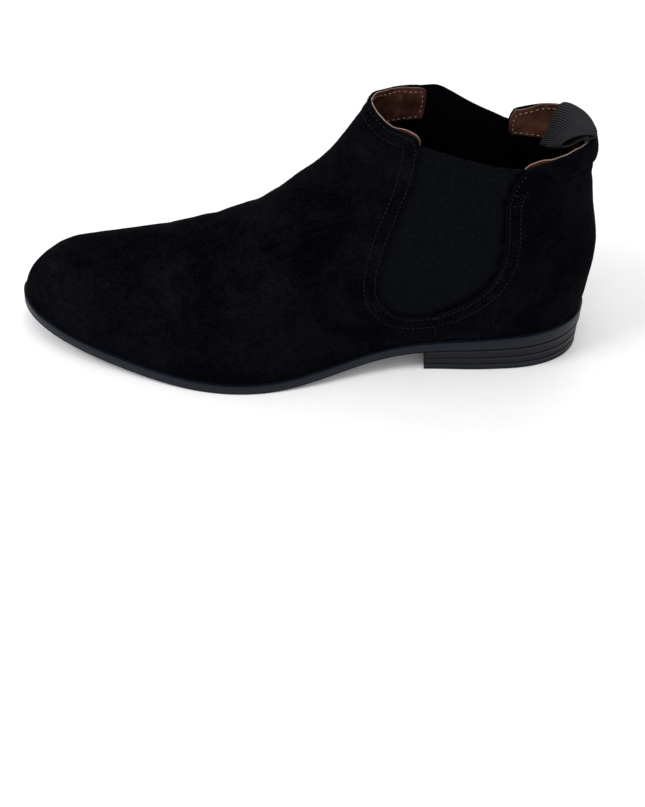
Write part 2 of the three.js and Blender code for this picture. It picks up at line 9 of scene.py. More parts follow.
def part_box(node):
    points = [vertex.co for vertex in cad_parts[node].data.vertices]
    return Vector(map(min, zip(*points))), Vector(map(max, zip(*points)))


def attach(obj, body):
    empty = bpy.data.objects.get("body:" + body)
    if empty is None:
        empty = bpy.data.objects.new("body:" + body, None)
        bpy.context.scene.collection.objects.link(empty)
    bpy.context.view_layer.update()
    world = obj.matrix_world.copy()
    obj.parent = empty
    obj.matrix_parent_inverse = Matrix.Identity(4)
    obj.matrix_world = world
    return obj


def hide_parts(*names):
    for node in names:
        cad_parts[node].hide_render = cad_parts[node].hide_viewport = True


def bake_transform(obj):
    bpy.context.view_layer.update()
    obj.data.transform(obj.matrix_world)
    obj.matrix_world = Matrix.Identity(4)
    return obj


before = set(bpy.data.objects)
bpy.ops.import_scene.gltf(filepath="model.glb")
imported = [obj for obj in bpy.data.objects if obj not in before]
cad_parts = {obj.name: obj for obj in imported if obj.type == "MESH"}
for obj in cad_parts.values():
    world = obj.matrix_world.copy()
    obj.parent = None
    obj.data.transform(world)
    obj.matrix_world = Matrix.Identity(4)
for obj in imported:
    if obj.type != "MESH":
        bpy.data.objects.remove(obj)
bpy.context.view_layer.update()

# ---- The stand the boot is shown on: a plain pale sweep under four soft boxes.
# One hangs overhead, one stands by the outer side, one above the toe and one by the inner side.
eye = Vector((0.0590, 0.6973, 0.5884))
aim = Vector((-0.0070, 0.0583, 0.0))
camera_tilt = math.radians(3.97)
lens = 92.28

camera = bpy.data.objects.new("camera", bpy.data.cameras.new("camera"))
camera.data.sensor_width = 36
camera.data.sensor_fit = "HORIZONTAL"
camera.data.lens = lens
turned = (aim - eye).to_track_quat("-Z", "Y").to_matrix() @ Matrix.Rotation(camera_tilt, 3, "Z")
camera.matrix_world = Matrix.Translation(eye) @ turned.to_4x4()
bpy.context.scene.collection.objects.link(camera)
bpy.context.scene.camera = camera
bpy.context.scene.view_settings.view_transform = "Standard"


def put(tree, socket, value):
    if isinstance(value, bpy.types.NodeSocket):
        tree.links.new(value, socket)
    else:
        socket.default_value = value


def add(tree, kind, wires=(), **settings):
    """A shader node; wires are (input, value or socket) pairs."""
    made = tree.nodes.new("ShaderNode" + kind)
    for key, value in settings.items():
        setattr(made, key, value)
    for key, value in wires:
        put(tree, made.inputs[key], value)
    return made


def finish(name, steady):
    """A material with its Principled shader's steady values set on its own sockets."""
    made = bpy.data.materials.new(name)
    made.use_nodes = True
    shader = made.node_tree.nodes["Principled BSDF"]
    for key, value in steady.items():
        shader.inputs[key].default_value = value
    return made, made.node_tree, shader


def noise(tree, spot, scale, detail=2.0, roughness=.5, distortion=0.0):
    wires = [("Scale", scale), ("Detail", detail), ("Roughness", roughness), ("Distortion", distortion)]
    if spot is not None:
        wires.append(("Vector", spot))
    return add(tree, "TexNoise", wires).outputs["Fac"]


def span(tree, value, start=0.0, end=1.0, low=0.0, high=1.0):
    """A value's stretch from start to end, carried over to low and high."""
    return add(tree, "MapRange", [("Value", value), ("From Min", start), ("From Max", end),
                                  ("To Min", low), ("To Max", high)]).outputs[0]


def stand_light(name, place, target, size, power, colour=(1, 1, 1)):
    light = bpy.data.lights.new(name, "AREA")
    light.shape = "RECTANGLE"
    light.size, light.size_y = size
    light.energy = power
    light.color = colour
    lamp = bpy.data.objects.new(name, light)
    lamp.location = place
    lamp.rotation_euler = (Vector(target) - Vector(place)).to_track_quat("-Z", "Y").to_euler()
    bpy.context.scene.collection.objects.link(lamp)


stand_light("overhead_box", (0.1, 0.1, 1.7), (0, 0, 0), (1.6, 1.4), 9)
stand_light("outer_side_box", (0.2, 1.9, 0.9), (0, 0, 0.05), (1.6, 1.0), 8, (0.93, 0.96, 1))
stand_light("toe_box", (1.1, 0.45, 1.2), (0, 0, 0.05), (0.6, 0.6), 12)
stand_light("inner_side_box", (-0.6, -1.7, 1.0), (0, 0, 0.05), (1.2, 0.9), 7)

world = bpy.data.worlds.new("studio_air")
world.use_nodes = True
world.node_tree.nodes["Background"].inputs["Color"].default_value = (1, 1, 1, 1)
world.node_tree.nodes["Background"].inputs["Strength"].default_value = 0.7
bpy.context.scene.world = world

sweep = bpy.data.objects.new("sweep", bpy.data.meshes.new("sweep"))
sweep.data.from_pydata([(-6, -6, 0), (6, -6, 0), (6, 6, 0), (-6, 6, 0)], [], [(0, 1, 2, 3)])
bpy.context.scene.collection.objects.link(sweep)
paper, paper_tree, paper_shader = finish("sweep_paper", {"Roughness": .95, "Specular IOR Level": .1})
paper_tone = span(paper_tree, noise(paper_tree, None, 900), low=.86, high=.9)
put(paper_tree, paper_shader.inputs["Base Color"], paper_tone)
sweep.data.materials.append(paper)

# ---- Vamp: one piece of suede over the foot and up the front of the shaft.
# It is cut from a calf split, lasted over the toe and turned in under the insole board.
# The boot's own sizes are in millimetres, x from the back of the heel, y outward, z up.
toe_x = 303.0
sole_edge = 1.3
boot_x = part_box("outsole")[1].x * 1000 - toe_x - sole_edge
boot_y = sum(corner.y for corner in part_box("pull_tab_loop")) * 500
heel_height, toe_spring = 17.0, 13.4
sole_thickness, seat_thickness = 5.4, 9.6
gap = 0.3
suede_thickness = 1.35


def curve(points):
    """Natural cubic spline through (place, value) pairs."""
    x, y = np.array(points, float).T
    n = len(x)
    h = np.diff(x)
    system = np.eye(n)
    load = np.zeros(n)
    for i in range(1, n - 1):
        system[i, i - 1:i + 2] = h[i - 1], 2 * (h[i - 1] + h[i]), h[i]
        load[i] = 6 * ((y[i + 1] - y[i]) / h[i] - (y[i] - y[i - 1]) / h[i - 1])
    bow = np.linalg.solve(system, load)

    def at(place):
        t = np.clip(place, x[0], x[-1])
        i = np.clip(np.searchsorted(x, t, side="right") - 1, 0, n - 2)
        a = (x[i + 1] - t) / h[i]
        b = 1 - a
        return a * y[i] + b * y[i + 1] + ((a ** 3 - a) * bow[i] + (b ** 3 - b) * bow[i + 1]) * h[i] ** 2 / 6
    return at


def ease(start, end, at):
    t = np.clip((at - start) / (end - start), 0, 1)
    return t * t * (3 - 2 * t)


heel_rise = curve([(-8, 1), (40, .85), (84, .735), (112, .555), (140, .265), (168, .046), (192, 0)])
ball_x = 192


def underside(x):
    rise = np.where(x < ball_x, heel_rise(x), 0)
    return np.maximum(0, heel_height * rise) + toe_spring * np.clip((x - ball_x) / 113, 0, 1) ** 1.9


def feather(x):
    """Height of the line where the upper meets the outsole."""
    return underside(x) + sole_thickness + (seat_thickness - sole_thickness) * np.clip((88 - x) / 96, 0, 1)


last_feather = curve([(-8, 26.6), (40, 21.9), (84, 18), (112, 14.7), (140, 9.9), (168, 6.2), (192, 5.4),
                      (220, 6.3), (250, 9.1), (278, 13.4), (305, 18.8)])
outer_half = curve([(-8, 30.5), (30, 30.5), (60, 32), (88, 31.5), (115, 35), (150, 47.5), (185, 55.8),
                    (215, 55.2), (250, 51.8), (301, 49)])
inner_half = curve([(-8, 30.8), (30, 30.8), (60, 29), (88, 26.5), (115, 26.5), (150, 31.7), (185, 39.5),
                    (215, 41.3), (250, 39.3), (301, 36)])
middle_line = curve([(-8, 0), (90, .2), (120, -.2), (150, -1.8), (200, -5), (250, -11.6), (305, -14)])
shaft_half = curve([(0, 31), (45, 33), (75, 33), (105, 30.6), (125, 28.8), (150, 29.6)])
back_curve = curve([(0, 3), (26, .8), (45, -.6), (62, -1.5), (80, .9), (95, 4.7), (110, 7.2), (124, 8.3),
                    (138, 10), (165, 11)])
instep = np.array([(301, 44), (280, 47), (255, 51), (230, 57.3), (205, 67.8), (183, 79.4), (166, 93.4),
                   (152, 106), (141, 119), (133, 132.8), (125.8, 147), (121.5, 165)], float)
fan_x, fan_z, fan_radius = 190.0, 150.0, 62.0
quarter_turn = fan_radius * math.pi / 2
toe_round, toe_drop, heel_round, shaft_round = 98, 29.5, 41.5, 50.5


def fan_place(x, z):
    """The sections of the last fan out from a point above the instep: turn along it, and depth below it."""
    ahead, above = x >= fan_x, (z >= fan_z) & (x < fan_x)
    turn = fan_radius * np.arctan2(fan_x - x, np.maximum(fan_z - z, 1e-9))
    turn = np.where(ahead, fan_x - x, np.where(above, quarter_turn + z - fan_z, turn))
    depth = np.where(ahead, fan_z - z, np.where(above, fan_x - x, np.hypot(fan_x - x, fan_z - z)))
    return turn, depth


def fan_point(turn, depth):
    angle = np.clip(turn / fan_radius, 0, math.pi / 2)
    x = fan_x - depth * np.sin(angle) - np.minimum(turn, 0)
    return x, fan_z - depth * np.cos(angle) + np.maximum(turn - quarter_turn, 0)


ridge_places = sorted(zip(*[list(v) for v in fan_place(instep[:, 0], instep[:, 1])]))
ridge_line = curve(ridge_places)


def closing(x, over, power):
    return 1 - np.maximum(1 - (toe_x - x) / over, 0) ** power


def ridge(turn):
    depth = ridge_line(turn)
    x = fan_x - turn
    rise = fan_z - depth - last_feather(x)
    top = last_feather(x) + rise * np.sqrt(np.maximum(closing(x, toe_drop, 2), 0))
    return np.where(turn < 0, fan_z - top, depth)


waist_depth = fan_z - float(ridge(np.array(0.0))) - float(last_feather(fan_x))


def breadth_squared(x, z, side):
    turn, depth = fan_place(x, z)
    top = ridge(turn)
    full = np.where(turn <= 0, fan_z - top - last_feather(x),
                    waist_depth + (shaft_round - waist_depth) * ease(0, quarter_turn, turn))
    down = np.clip((depth - top) / np.maximum(full, 1e-3), -.3, 1)
    crown = 1 - np.maximum(1 - down, 0) ** (2 + .6 * ease(200, 290, x))
    back = 1 - np.maximum(1 - (x - back_curve(z)) / heel_round, 0) ** 2.2
    base = outer_half(x) if side > 0 else inner_half(x)
    up = ease(0, 85, z - last_feather(x)) * (1 - ease(130, 190, x))
    width = base + (shaft_half(z) - base) * up
    return width ** 2 * closing(x, toe_round, 2.1) * back * crown


def unit(ways):
    return ways / np.maximum(np.linalg.norm(ways, axis=-1, keepdims=True), 1e-9)


def on_skin(x, z, side, depth):
    """Point of the upper at a place in the side view, set in by depth, and the way out there."""
    step = .04
    half = np.sqrt(np.maximum(breadth_squared(x, z, side), 0))
    lean = (middle_line(x + step) - middle_line(x - step)) / (2 * step)
    near = np.minimum(x, toe_x - .12)
    along = (breadth_squared(near + step, z, side) - breadth_squared(near - step, z, side)) / (2 * step)
    rise = (breadth_squared(near, z + step, side) - breadth_squared(near, z - step, side)) / (2 * step)
    rise = np.where(x > toe_x - .05, 0, rise)
    out = unit(np.stack([-2 * side * half * lean - along, 2 * side * half, -rise], -1))
    place = np.stack([x, middle_line(x) + side * half, z + feather(x) - last_feather(x)], -1)
    return place - out * np.asarray(depth)[..., None], out


def in_frame(points):
    """Boot millimetres to the frame's metres."""
    return (np.asarray(points) + (boot_x, boot_y, 0)) / 1000


def smooth(points, steps=8):
    """Catmull-Rom line through points, ends kept."""
    p = np.array(points, float)
    p = np.vstack([2 * p[0] - p[1], p, 2 * p[-1] - p[-2]])
    t = np.linspace(0, 1, steps, endpoint=False)[:, None]
    parts = [.5 * (2 * b + (c - a) * t + (2 * a - 5 * b + 4 * c - d) * t ** 2
                   + (3 * b - a - 3 * c + d) * t ** 3)
             for a, b, c, d in zip(p, p[1:], p[2:], p[3:])]
    return np.vstack(parts + [p[-2:-1]])


def reach(outline, x, z, closed=True):
    """Distance to an outline, positive inside a closed one."""
    points = np.stack([np.ravel(x), np.ravel(z)], -1)
    a = outline
    b = np.roll(outline, -1, 0)
    if not closed:
        a, b = outline[:-1], outline[1:]
    best = np.full(len(points), 1e9)
    inside = np.zeros(len(points), bool)
    for (ax, az), (bx, bz) in zip(a, b):
        dx, dz = bx - ax, bz - az
        length = dx * dx + dz * dz
        if length < 1e-12:
            continue
        t = np.clip(((points[:, 0] - ax) * dx + (points[:, 1] - az) * dz) / length, 0, 1)
        best = np.minimum(best, (points[:, 0] - ax - t * dx) ** 2 + (points[:, 1] - az - t * dz) ** 2)
        crosses = (az > points[:, 1]) != (bz > points[:, 1])
        if dz:
            inside ^= crosses & (points[:, 0] < (points[:, 1] - az) * dx / dz + ax)
    best = np.sqrt(best)
    return (np.where(inside, best, -best) if closed else best).reshape(np.shape(x))


# The last's side view as a net: stations from the toe to the back seam, rows from the top line down to
# the feather line, and further rows for the margin turned in under the insole board.
stations_fore, stations_waist, stations_back = 70, 92, 74
net_rows = 66
margin_rows = [.5, 1.1, 1.8, 2.6, 3.6, 5.0, 7.0, 9.0, 11.0]


def seat_corner():
    z = 26.0
    for _ in range(20):
        z = float(last_feather(back_curve(z)))
    return float(back_curve(z)), z


def last_net():
    corner = seat_corner()
    sweep_x = np.linspace(0, math.pi / 2, stations_fore + 1)
    ends = [(toe_x - (toe_x - fan_x) * (1 - math.cos(s)), None) for s in sweep_x]
    waist = [corner[0] + (fan_x - corner[0]) * (1 - math.sin(s))
             for s in np.linspace(0, math.pi / 2, stations_waist + 1)[1:]]
    ends += [(x, None) for x in waist]
    last_standing = len(ends) - 1
    ends = [(x, float(last_feather(x))) for x, _ in ends]
    ends[-1] = corner
    for i in range(1, stations_back + 1):
        z = corner[1] + (fan_z - corner[1]) * i / stations_back
        ends.append((float(back_curve(z)), z))
    ends = np.array(ends)
    turn, depth = fan_place(ends[:, 0], ends[:, 1])
    top = ridge(turn)
    swing = (1 + ease(20, 70, turn)) / 2 * math.pi
    row = np.arange(net_rows + 1) / net_rows
    share = (1 - np.cos(swing[:, None] * row)) / (1 - np.cos(swing))[:, None]
    x, z = fan_point(turn[:, None] + 0 * share, top[:, None] + (depth - top)[:, None] * share)
    x[:, -1], z[:, -1] = ends.T
    turned = np.zeros_like(x)
    for margin in margin_rows:
        x = np.hstack([x, ends[:, :1]])
        z = np.hstack([z, ends[:, 1:]])
        turned = np.hstack([turned, np.full((len(ends), 1), margin)])
    return x, z, turned, last_standing


net_x, net_z, net_turned, last_standing = last_net()


def lasted(x, z, turned, side, depth):
    """Point on the upper, rounded over the feather line and laid flat under the insole board."""
    fold = 1.7
    floor = gap + np.clip(depth, 0, 9)
    standing = (x > seat_corner()[0] - .01) & ((turned > 0) | (z - last_feather(x) < 8.5))
    height = np.where(turned > 0, -turned, z - last_feather(x))
    below = np.where(standing, floor + fold - height, 0)
    angle = np.clip(below / fold, 0, math.pi / 2)
    flat = np.maximum(below - fold * math.pi / 2, 0)
    place, out = on_skin(x, np.where(standing, np.maximum(z, last_feather(x)), z), side, np.asarray(depth))
    level = out.copy()
    level[..., 2] = 0
    level = unit(level)
    inset = fold * (1 - np.cos(angle)) + flat
    dropped = np.where(below > 0, feather(x) + floor + fold * (1 - np.sin(angle)), place[..., 2])
    near_foot = np.clip(below, 0, 1)
    place = place - level * inset[..., None]
    place[..., 2] = place[..., 2] * (1 - near_foot) + dropped * near_foot
    return place


def cut_net(outline, keep=0.0):
    """The net inside an outline: points (x, z, turned, on the cut), faces, and the cut edges."""
    hold = reach(outline, net_x, net_z) - keep
    flat_x, flat_z, flat_t, flat_h = (a.ravel() for a in (net_x, net_z, net_turned, hold))
    columns = net_x.shape[1]
    points, faces, cuts, number = [], [], [], {}

    def corner(k):
        if k not in number:
            number[k] = len(points)
            points.append((flat_x[k], flat_z[k], flat_t[k], 0))
        return number[k]

    def crossing(a, b):
        key = (min(a, b), max(a, b))
        if key not in number:
            a, b = key
            s = flat_h[a] / (flat_h[a] - flat_h[b])
            number[key] = len(points)
            points.append((flat_x[a] + s * (flat_x[b] - flat_x[a]), flat_z[a] + s * (flat_z[b] - flat_z[a]),
                           flat_t[a] + s * (flat_t[b] - flat_t[a]), 1))
        return number[key]

    for i in range(net_x.shape[0] - 1):
        limit = columns - 1 if i < last_standing else net_rows
        for j in range(limit):
            ring = (i * columns + j, i * columns + j + 1, (i + 1) * columns + j + 1, (i + 1) * columns + j)
            inside = [flat_h[k] > 0 for k in ring]
            if not any(inside):
                continue
            if all(inside):
                faces.append([corner(k) for k in ring])
                continue
            face = []
            for k in range(4):
                a, b = ring[k], ring[(k + 1) % 4]
                if inside[k]:
                    face.append(corner(a))
                if inside[k] != inside[(k + 1) % 4]:
                    face.append(crossing(a, b))
            faces.append(face)
            for k in range(len(face)):
                a, b = face[k], face[(k + 1) % len(face)]
                if points[a][3] and points[b][3]:
                    cuts.append((a, b))
    return np.array(points), faces, cuts


def panel(name, outlines, sides, depth, thickness, edge=.45, shape=None, seam_gap=0.0, marks=None):
    """A closed piece of the upper: outer face, inner face and a rounded cut edge all round.
    depth(x, z, side) is how far in its outer face lies; shape(x, y, z, side) lifts the outer face;
    marks are further values at its points, each worked out by (x, z, side)."""
    angles = [math.radians(a) for a in (30, 60, 90)]
    steps = [(edge * math.sin(a), edge * (1 - math.cos(a))) for a in angles]
    steps += [(s, thickness - d) for s, d in reversed(steps)]
    places, polygons, rims, insides = [], [], [], []
    kept = {mark: [] for mark in marks or {}}
    for side in sides:
        outline = outlines[side]
        points, faces, cuts = cut_net(outline, edge)
        x, z, turned = points[:, 0], points[:, 1], points[:, 2]
        h = .02
        slope = np.stack([reach(outline, x + h, z) - reach(outline, x - h, z),
                          reach(outline, x, z + h) - reach(outline, x, z - h)], -1) / (2 * h)
        slope = unit(slope)
        cut_points = sorted({p for pair in cuts for p in pair})
        place_in_cut = {p: k for k, p in enumerate(cut_points)}
        cut_points = np.array(cut_points, int)
        start = sum(len(p) for p in places)

        def lay(px, pz, pt, down, side=side):
            across = middle_line(px) + side * np.sqrt(np.maximum(breadth_squared(px, pz, side), 0))
            lift = shape(px, across, pz, side) * np.where(pt > 0, 0, 1) if shape is not None else 0
            share = 1 - np.clip(down / thickness, 0, 1)
            return lasted(px, pz, pt, side, depth(px, pz, side) + down - lift * (.25 + .75 * share))
        made = [lay(x, z, turned, 0.0), lay(x, z, turned, thickness)]
        for mark, values in kept.items():
            values += 2 * list(marks[mark](x, z, side))
        rims += [0.0] * (2 * len(x))
        insides += [0.0] * len(x) + [1.0] * len(x)
        inner = start + len(x)
        for face in faces:
            forward = list(face) if side > 0 else list(reversed(face))
            polygons.append([start + k for k in forward])
            polygons.append([inner + k for k in reversed(forward)])
        base = start + 2 * len(x)
        rings = [[start + k for k in cut_points]]
        for moved, down in steps:
            cx = x[cut_points] - slope[cut_points, 0] * moved
            cz = z[cut_points] - slope[cut_points, 1] * moved
            made.append(lay(cx, cz, turned[cut_points], down))
            for mark, values in kept.items():
                values += list(marks[mark](cx, cz, side))
            rims += [1.0] * len(cut_points)
            insides += [down / thickness] * len(cut_points)
            rings.append([base + k for k in range(len(cut_points))])
            base += len(cut_points)
        rings.append([inner + k for k in cut_points])
        for a, b in cuts:
            ka, kb = place_in_cut[a], place_in_cut[b]
            for upper, lower in zip(rings, rings[1:]):
                quad = [upper[kb], upper[ka], lower[ka], lower[kb]]
                polygons.append(quad if side > 0 else quad[::-1])
        # The other open edges: the margin's end, and the middle seam where the two sides aren't one piece.
        seen = {(a, b) for face in faces for a, b in zip(face, face[1:] + face[:1])}
        for a, b in seen:
            if (b, a) in seen or (a, b) in cuts:
                continue
            quad = [start + b, start + a, inner + a, inner + b]
            polygons.append(quad if side > 0 else quad[::-1])
        if seam_gap:
            for group in made:
                middle = middle_line(group[:, 0])
                group[:, 1] = middle + side * np.maximum(side * (group[:, 1] - middle), seam_gap)
        places += made
    return make(name, np.vstack(places), polygons, {"rim": rims, "inside": insides, **kept}, len(sides) == 2)


def make(name, places, polygons, marks=None, two_sided=False, sharp=50):
    """A mesh object at the origin from boot millimetres; marks are values kept at its points."""
    mesh = bpy.data.meshes.new(name)
    mesh.from_pydata(in_frame(places).tolist(), [], [list(p) for p in polygons])
    for mark, values in (marks or {}).items():
        mesh.attributes.new(mark, "FLOAT", "POINT").data.foreach_set("value", np.array(values, np.float32))
    built = bmesh.new()
    built.from_mesh(mesh)
    bmesh.ops.remove_doubles(built, verts=built.verts, dist=2e-6)
    if two_sided:
        built.verts.index_update()
        twins = {}
        for face in built.faces:
            twins.setdefault(frozenset(v.index for v in face.verts), []).append(face)
        doubled = [f for group in twins.values() if len(group) > 1 for f in group]
        bmesh.ops.delete(built, geom=doubled, context="FACES_ONLY")
    bmesh.ops.dissolve_degenerate(built, edges=built.edges, dist=1e-7)
    bmesh.ops.delete(built, geom=[v for v in built.verts if not v.link_faces], context="VERTS")
    bmesh.ops.recalc_face_normals(built, faces=built.faces)
    for face in built.faces:
        face.smooth = True
    for edge in built.edges:
        if len(edge.link_faces) == 2 and edge.calc_face_angle() > math.radians(sharp):
            edge.smooth = False
    built.to_mesh(mesh)
    built.free()
    made = bpy.data.objects.new(name, mesh)
    bpy.context.scene.collection.objects.link(made)
    return made


def place_piece(piece, body, slot, material, *nodes):
    piece.data.materials.clear()
    piece.data.materials.append(material)
    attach(piece, body)
    if nodes:
        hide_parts(*nodes)
    return piece


def ripple(place, length, seed, waves=9):
    """Even unevenness, about -1 to 1, of a given length in millimetres."""
    draw = np.random.default_rng(seed)
    total = 0
    for _ in range(waves):
        way = draw.normal(size=3)
        way /= np.linalg.norm(way)
        pace = 2 * math.pi / (length * draw.uniform(.7, 1.4))
        total = total + np.sin(place @ way * pace + draw.uniform(0, 6.283))
    return total / math.sqrt(waves)


far_down = -20.0
seam_x = 85.0
gore_lean = 8.0
rim_z = 134.8
outer_front = np.array([(102.6, 138.4), (102, 131), (104, 116), (107.8, 102), (112.5, 87), (115.6, 74),
                        (117, 62), (116, 52), (111.5, 43.5), (104, 37.5), (95.5, 35.6), (seam_x, 36.8)])
outer_back = np.array([(seam_x, 36.8), (76, 41), (67, 47.5), (59.5, 56), (55.2, 66), (53.6, 78), (54.4, 92),
                       (55.6, 104), (54.6, 113), (51.5, 121), (47.6, 127)])


def leaned(line, share):
    """On the inner side the gore leans further back towards its top."""
    return np.column_stack([line[:, 0] - gore_lean * share, line[:, 1]])


front_lean = ease(40, 130, outer_front[:, 1])
back_lean = ease(40, 104, outer_back[:, 1]) * (1 - .85 * ease(108, 128, outer_back[:, 1]))
gore_front = {1: outer_front, -1: leaned(outer_front, front_lean)}
gore_back = {1: outer_back, -1: leaned(outer_back, back_lean)}
vamp_top = {1: [(104.4, 141.8), (108.5, 143.4), (117, 144.2), (124, 147), (140, 153)],
            -1: [(96.2, 140.9), (99.5, 141.9), (108.5, 143.2), (117, 144.2), (124, 147), (140, 153)]}
vamp_edge = {s: smooth(np.vstack([gore_front[s][::-1], vamp_top[s]])) for s in (1, -1)}
vamp_foot = [(340, 153), (340, far_down), (seam_x + gap / 2, far_down), (seam_x + gap / 2, 36.8)]
vamp_outline = {s: np.vstack([vamp_edge[s], vamp_foot]) for s in (1, -1)}


def vamp_shape(x, y, z, side):
    """Flex folds where the foot bends and over the instep, and the unevenness of lasted suede."""
    spot = np.stack([x, y, z], -1)
    lift = .22 * ripple(spot, 34, 3) + .07 * ripple(spot, 9, 4)
    run = (z - 80) * .45 - (x - 155) * .89
    over = (x - 155) * .45 + (z - 80) * .89
    zone = np.exp(-(run / 21) ** 2) * np.exp(-((over + 1) / 14) ** 2)
    wander = 1.3 * np.sin(run * .16) + .05 * y + 1.2 * ripple(spot, 22, 6)
    lift = lift + .26 * zone * np.sin(over * 1.15 + wander)
    for place, deep, wide in ((222, .38, 2.2), (196, .55, 3.0), (174, .75, 3.4), (163, .45, 2.6)):
        top = np.interp(place, instep[::-1, 0], instep[::-1, 1])
        lift = lift - deep * np.exp(-((x - place + (z - top) * .4) / wide) ** 2) * ease(top - 26, top - 4, z)
    return lift * np.clip(reach(vamp_edge[side], x, z, closed=False) / 4, 0, 1)


def shader_group(name, values, results):
    """An empty shader group; values and results give each socket's kind, Color or Float."""
    tree = bpy.data.node_groups.new(name, "ShaderNodeTree")
    for way, sockets in (("INPUT", values), ("OUTPUT", results)):
        for socket, kind in sockets.items():
            tree.interface.new_socket(socket, in_out=way, socket_type="NodeSocket" + kind)
    return tree, tree.nodes.new("NodeGroupInput").outputs, tree.nodes.new("NodeGroupOutput").inputs


def use_group(tree, group, **values):
    placed = tree.nodes.new("ShaderNodeGroup")
    placed.node_tree = group
    for key, value in values.items():
        put(tree, placed.inputs[key.replace("_", " ")], value)
    return placed.outputs


def object_spot(tree):
    return add(tree, "TexCoord").outputs["Object"]


def kept_mark(tree, name):
    """A value kept at the mesh's points."""
    return add(tree, "Attribute", attribute_name=name).outputs["Fac"]


def work_out(tree, operation, first, second, clamp=False):
    return add(tree, "Math", [(0, first), (1, second)], operation=operation, use_clamp=clamp).outputs[0]


def dye(tree, share, start, end):
    """The colour a share of the way from start to end."""
    return add(tree, "Mix", [(0, share), (6, start), (7, end)], data_type="RGBA").outputs[2]


def relief(tree, height, strength, distance, over=None):
    """The normal of a fine relief; over is the normal of a coarser one that it lies on."""
    wires = [("Height", height), ("Strength", strength), ("Distance", distance)]
    if over is not None:
        wires.append(("Normal", over))
    return add(tree, "Bump", wires).outputs[0]


def surface(tree, shader, colour, normal, roughness=None):
    put(tree, shader.inputs["Base Color"], colour)
    put(tree, shader.inputs["Normal"], normal)
    if roughness is not None:
        put(tree, shader.inputs["Roughness"], roughness)


colour_rough_height = {"Color": "Color", "Roughness": "Float", "Height": "Float"}


def suede_nap():
    """Shader group: the brushed face of suede, from broad pulls of nap down to single fibres."""
    tree, given, made = shader_group("suede_nap", {
        "Deep": "Color", "Brushed": "Color", "Speck": "Color", "Cut Edge": "Color", "Patch": "Float"},
        colour_rough_height)
    spot = object_spot(tree)
    pulls = noise(tree, spot, 26, 5, .62, .5)
    patch = noise(tree, spot, 120, 4, distortion=1.2)
    fibre = noise(tree, spot, 1500, 3, .8)
    lay = add(tree, "Mapping", [("Vector", spot), ("Rotation", (.3, .2, .5)), ("Scale", (1, 1, 2.4))])
    strokes = noise(tree, lay.outputs[0], 420, 3)
    small = work_out(tree, "MULTIPLY", span(tree, patch, .42, .64), given["Patch"])
    mixed = work_out(tree, "ADD", span(tree, pulls, .40, .62), small)
    lit = work_out(tree, "MULTIPLY", strokes, mixed, clamp=True)
    nap = dye(tree, lit, given["Deep"], given["Brushed"])
    fuzz = dye(tree, span(tree, fibre, .50, .72, high=.8), nap, given["Speck"])
    put(tree, made["Color"], dye(tree, kept_mark(tree, "rim"), fuzz, given["Cut Edge"]))
    put(tree, made["Roughness"], span(tree, lit, low=.98, high=.84))
    put(tree, made["Height"], work_out(tree, "ADD", fibre, strokes))
    return tree


suede, suede_tree, suede_shader = finish("black_suede", {
    "Specular IOR Level": .006, "Sheen Weight": .004, "Sheen Roughness": .5, "Sheen Tint": (.8, .85, 1, 1)})
suede_face = use_group(suede_tree, suede_nap(), Deep=(.0002, .0002, .0007, 1),
                       Brushed=(.0038, .0039, .0054, 1), Speck=(.0072, .0074, .0098, 1),
                       Cut_Edge=(.0022, .0024, .0036, 1), Patch=.5)
# Fine folds lie side by side where the forepart bends, above the ball on the outer side; their troughs carry
# painted shade.
fold_place = [("Vector", object_spot(suede_tree)), ("Location", in_frame((153, 30, 82)).tolist()),
              ("Rotation", (0, .473, 0))]
folded_run = add(suede_tree, "Mapping", fold_place + [("Scale", (.016, .022, .0017))], vector_type="TEXTURE")
folded_zone = add(suede_tree, "Mapping", fold_place + [("Scale", (.034, .034, .019))], vector_type="TEXTURE")
fold_line = noise(suede_tree, folded_run.outputs[0], 1)
from_middle = add(suede_tree, "VectorMath", [(0, folded_zone.outputs[0])], operation="LENGTH")
fold_mask = span(suede_tree, from_middle.outputs["Value"], 1, .45)
# Painted shade: the fold troughs are darkened towards near-black.
fold_painted_shade = work_out(suede_tree, "MULTIPLY", span(suede_tree, fold_line, .54, .40, high=.6), fold_mask)
fold_relief = relief(suede_tree, work_out(suede_tree, "MULTIPLY", fold_line, fold_mask), .9, .0022)
surface(suede_tree, suede_shader,
        dye(suede_tree, fold_painted_shade, suede_face["Color"], (.0003, .0003, .0008, 1)),
        relief(suede_tree, suede_face["Height"], .55, .0004, fold_relief), suede_face["Roughness"])

vamp = panel("vamp_suede", vamp_outline, (1, -1), lambda x, z, side: 0 * x, suede_thickness, shape=vamp_shape)
place_piece(vamp, "root", "suede", suede, "vamp")

# ---- Quarters: two pieces of the same suede behind the gores, closed by the back seam.
# The topline is folded over a strip of foam, so it stands out as a soft roll above a pressed line.
quarter_top = {1: [(44, 129), (38, 131), (28, 133), (16, 134.4), (-30, rim_z)],
               -1: [(43.5, 128), (38, 129.9), (28, 133), (16, 134.4), (-30, rim_z)]}
roll_top_x, roll_top_z = np.array(quarter_top[1][::-1]).T
pressed_x, pressed_z = [8, 12, 30, 34.5, 37, 40], [118.2, 120.2, 120.1, 118, 114, 108]
quarter_edge = {s: smooth(np.vstack([gore_back[s], quarter_top[s]])) for s in (1, -1)}
quarter_foot = [(-30, far_down), (seam_x - gap / 2, far_down), (seam_x - gap / 2, 36.8)]
quarter_outline = {s: np.vstack([quarter_edge[s], quarter_foot]) for s in (1, -1)}
seam_half_gap = .1


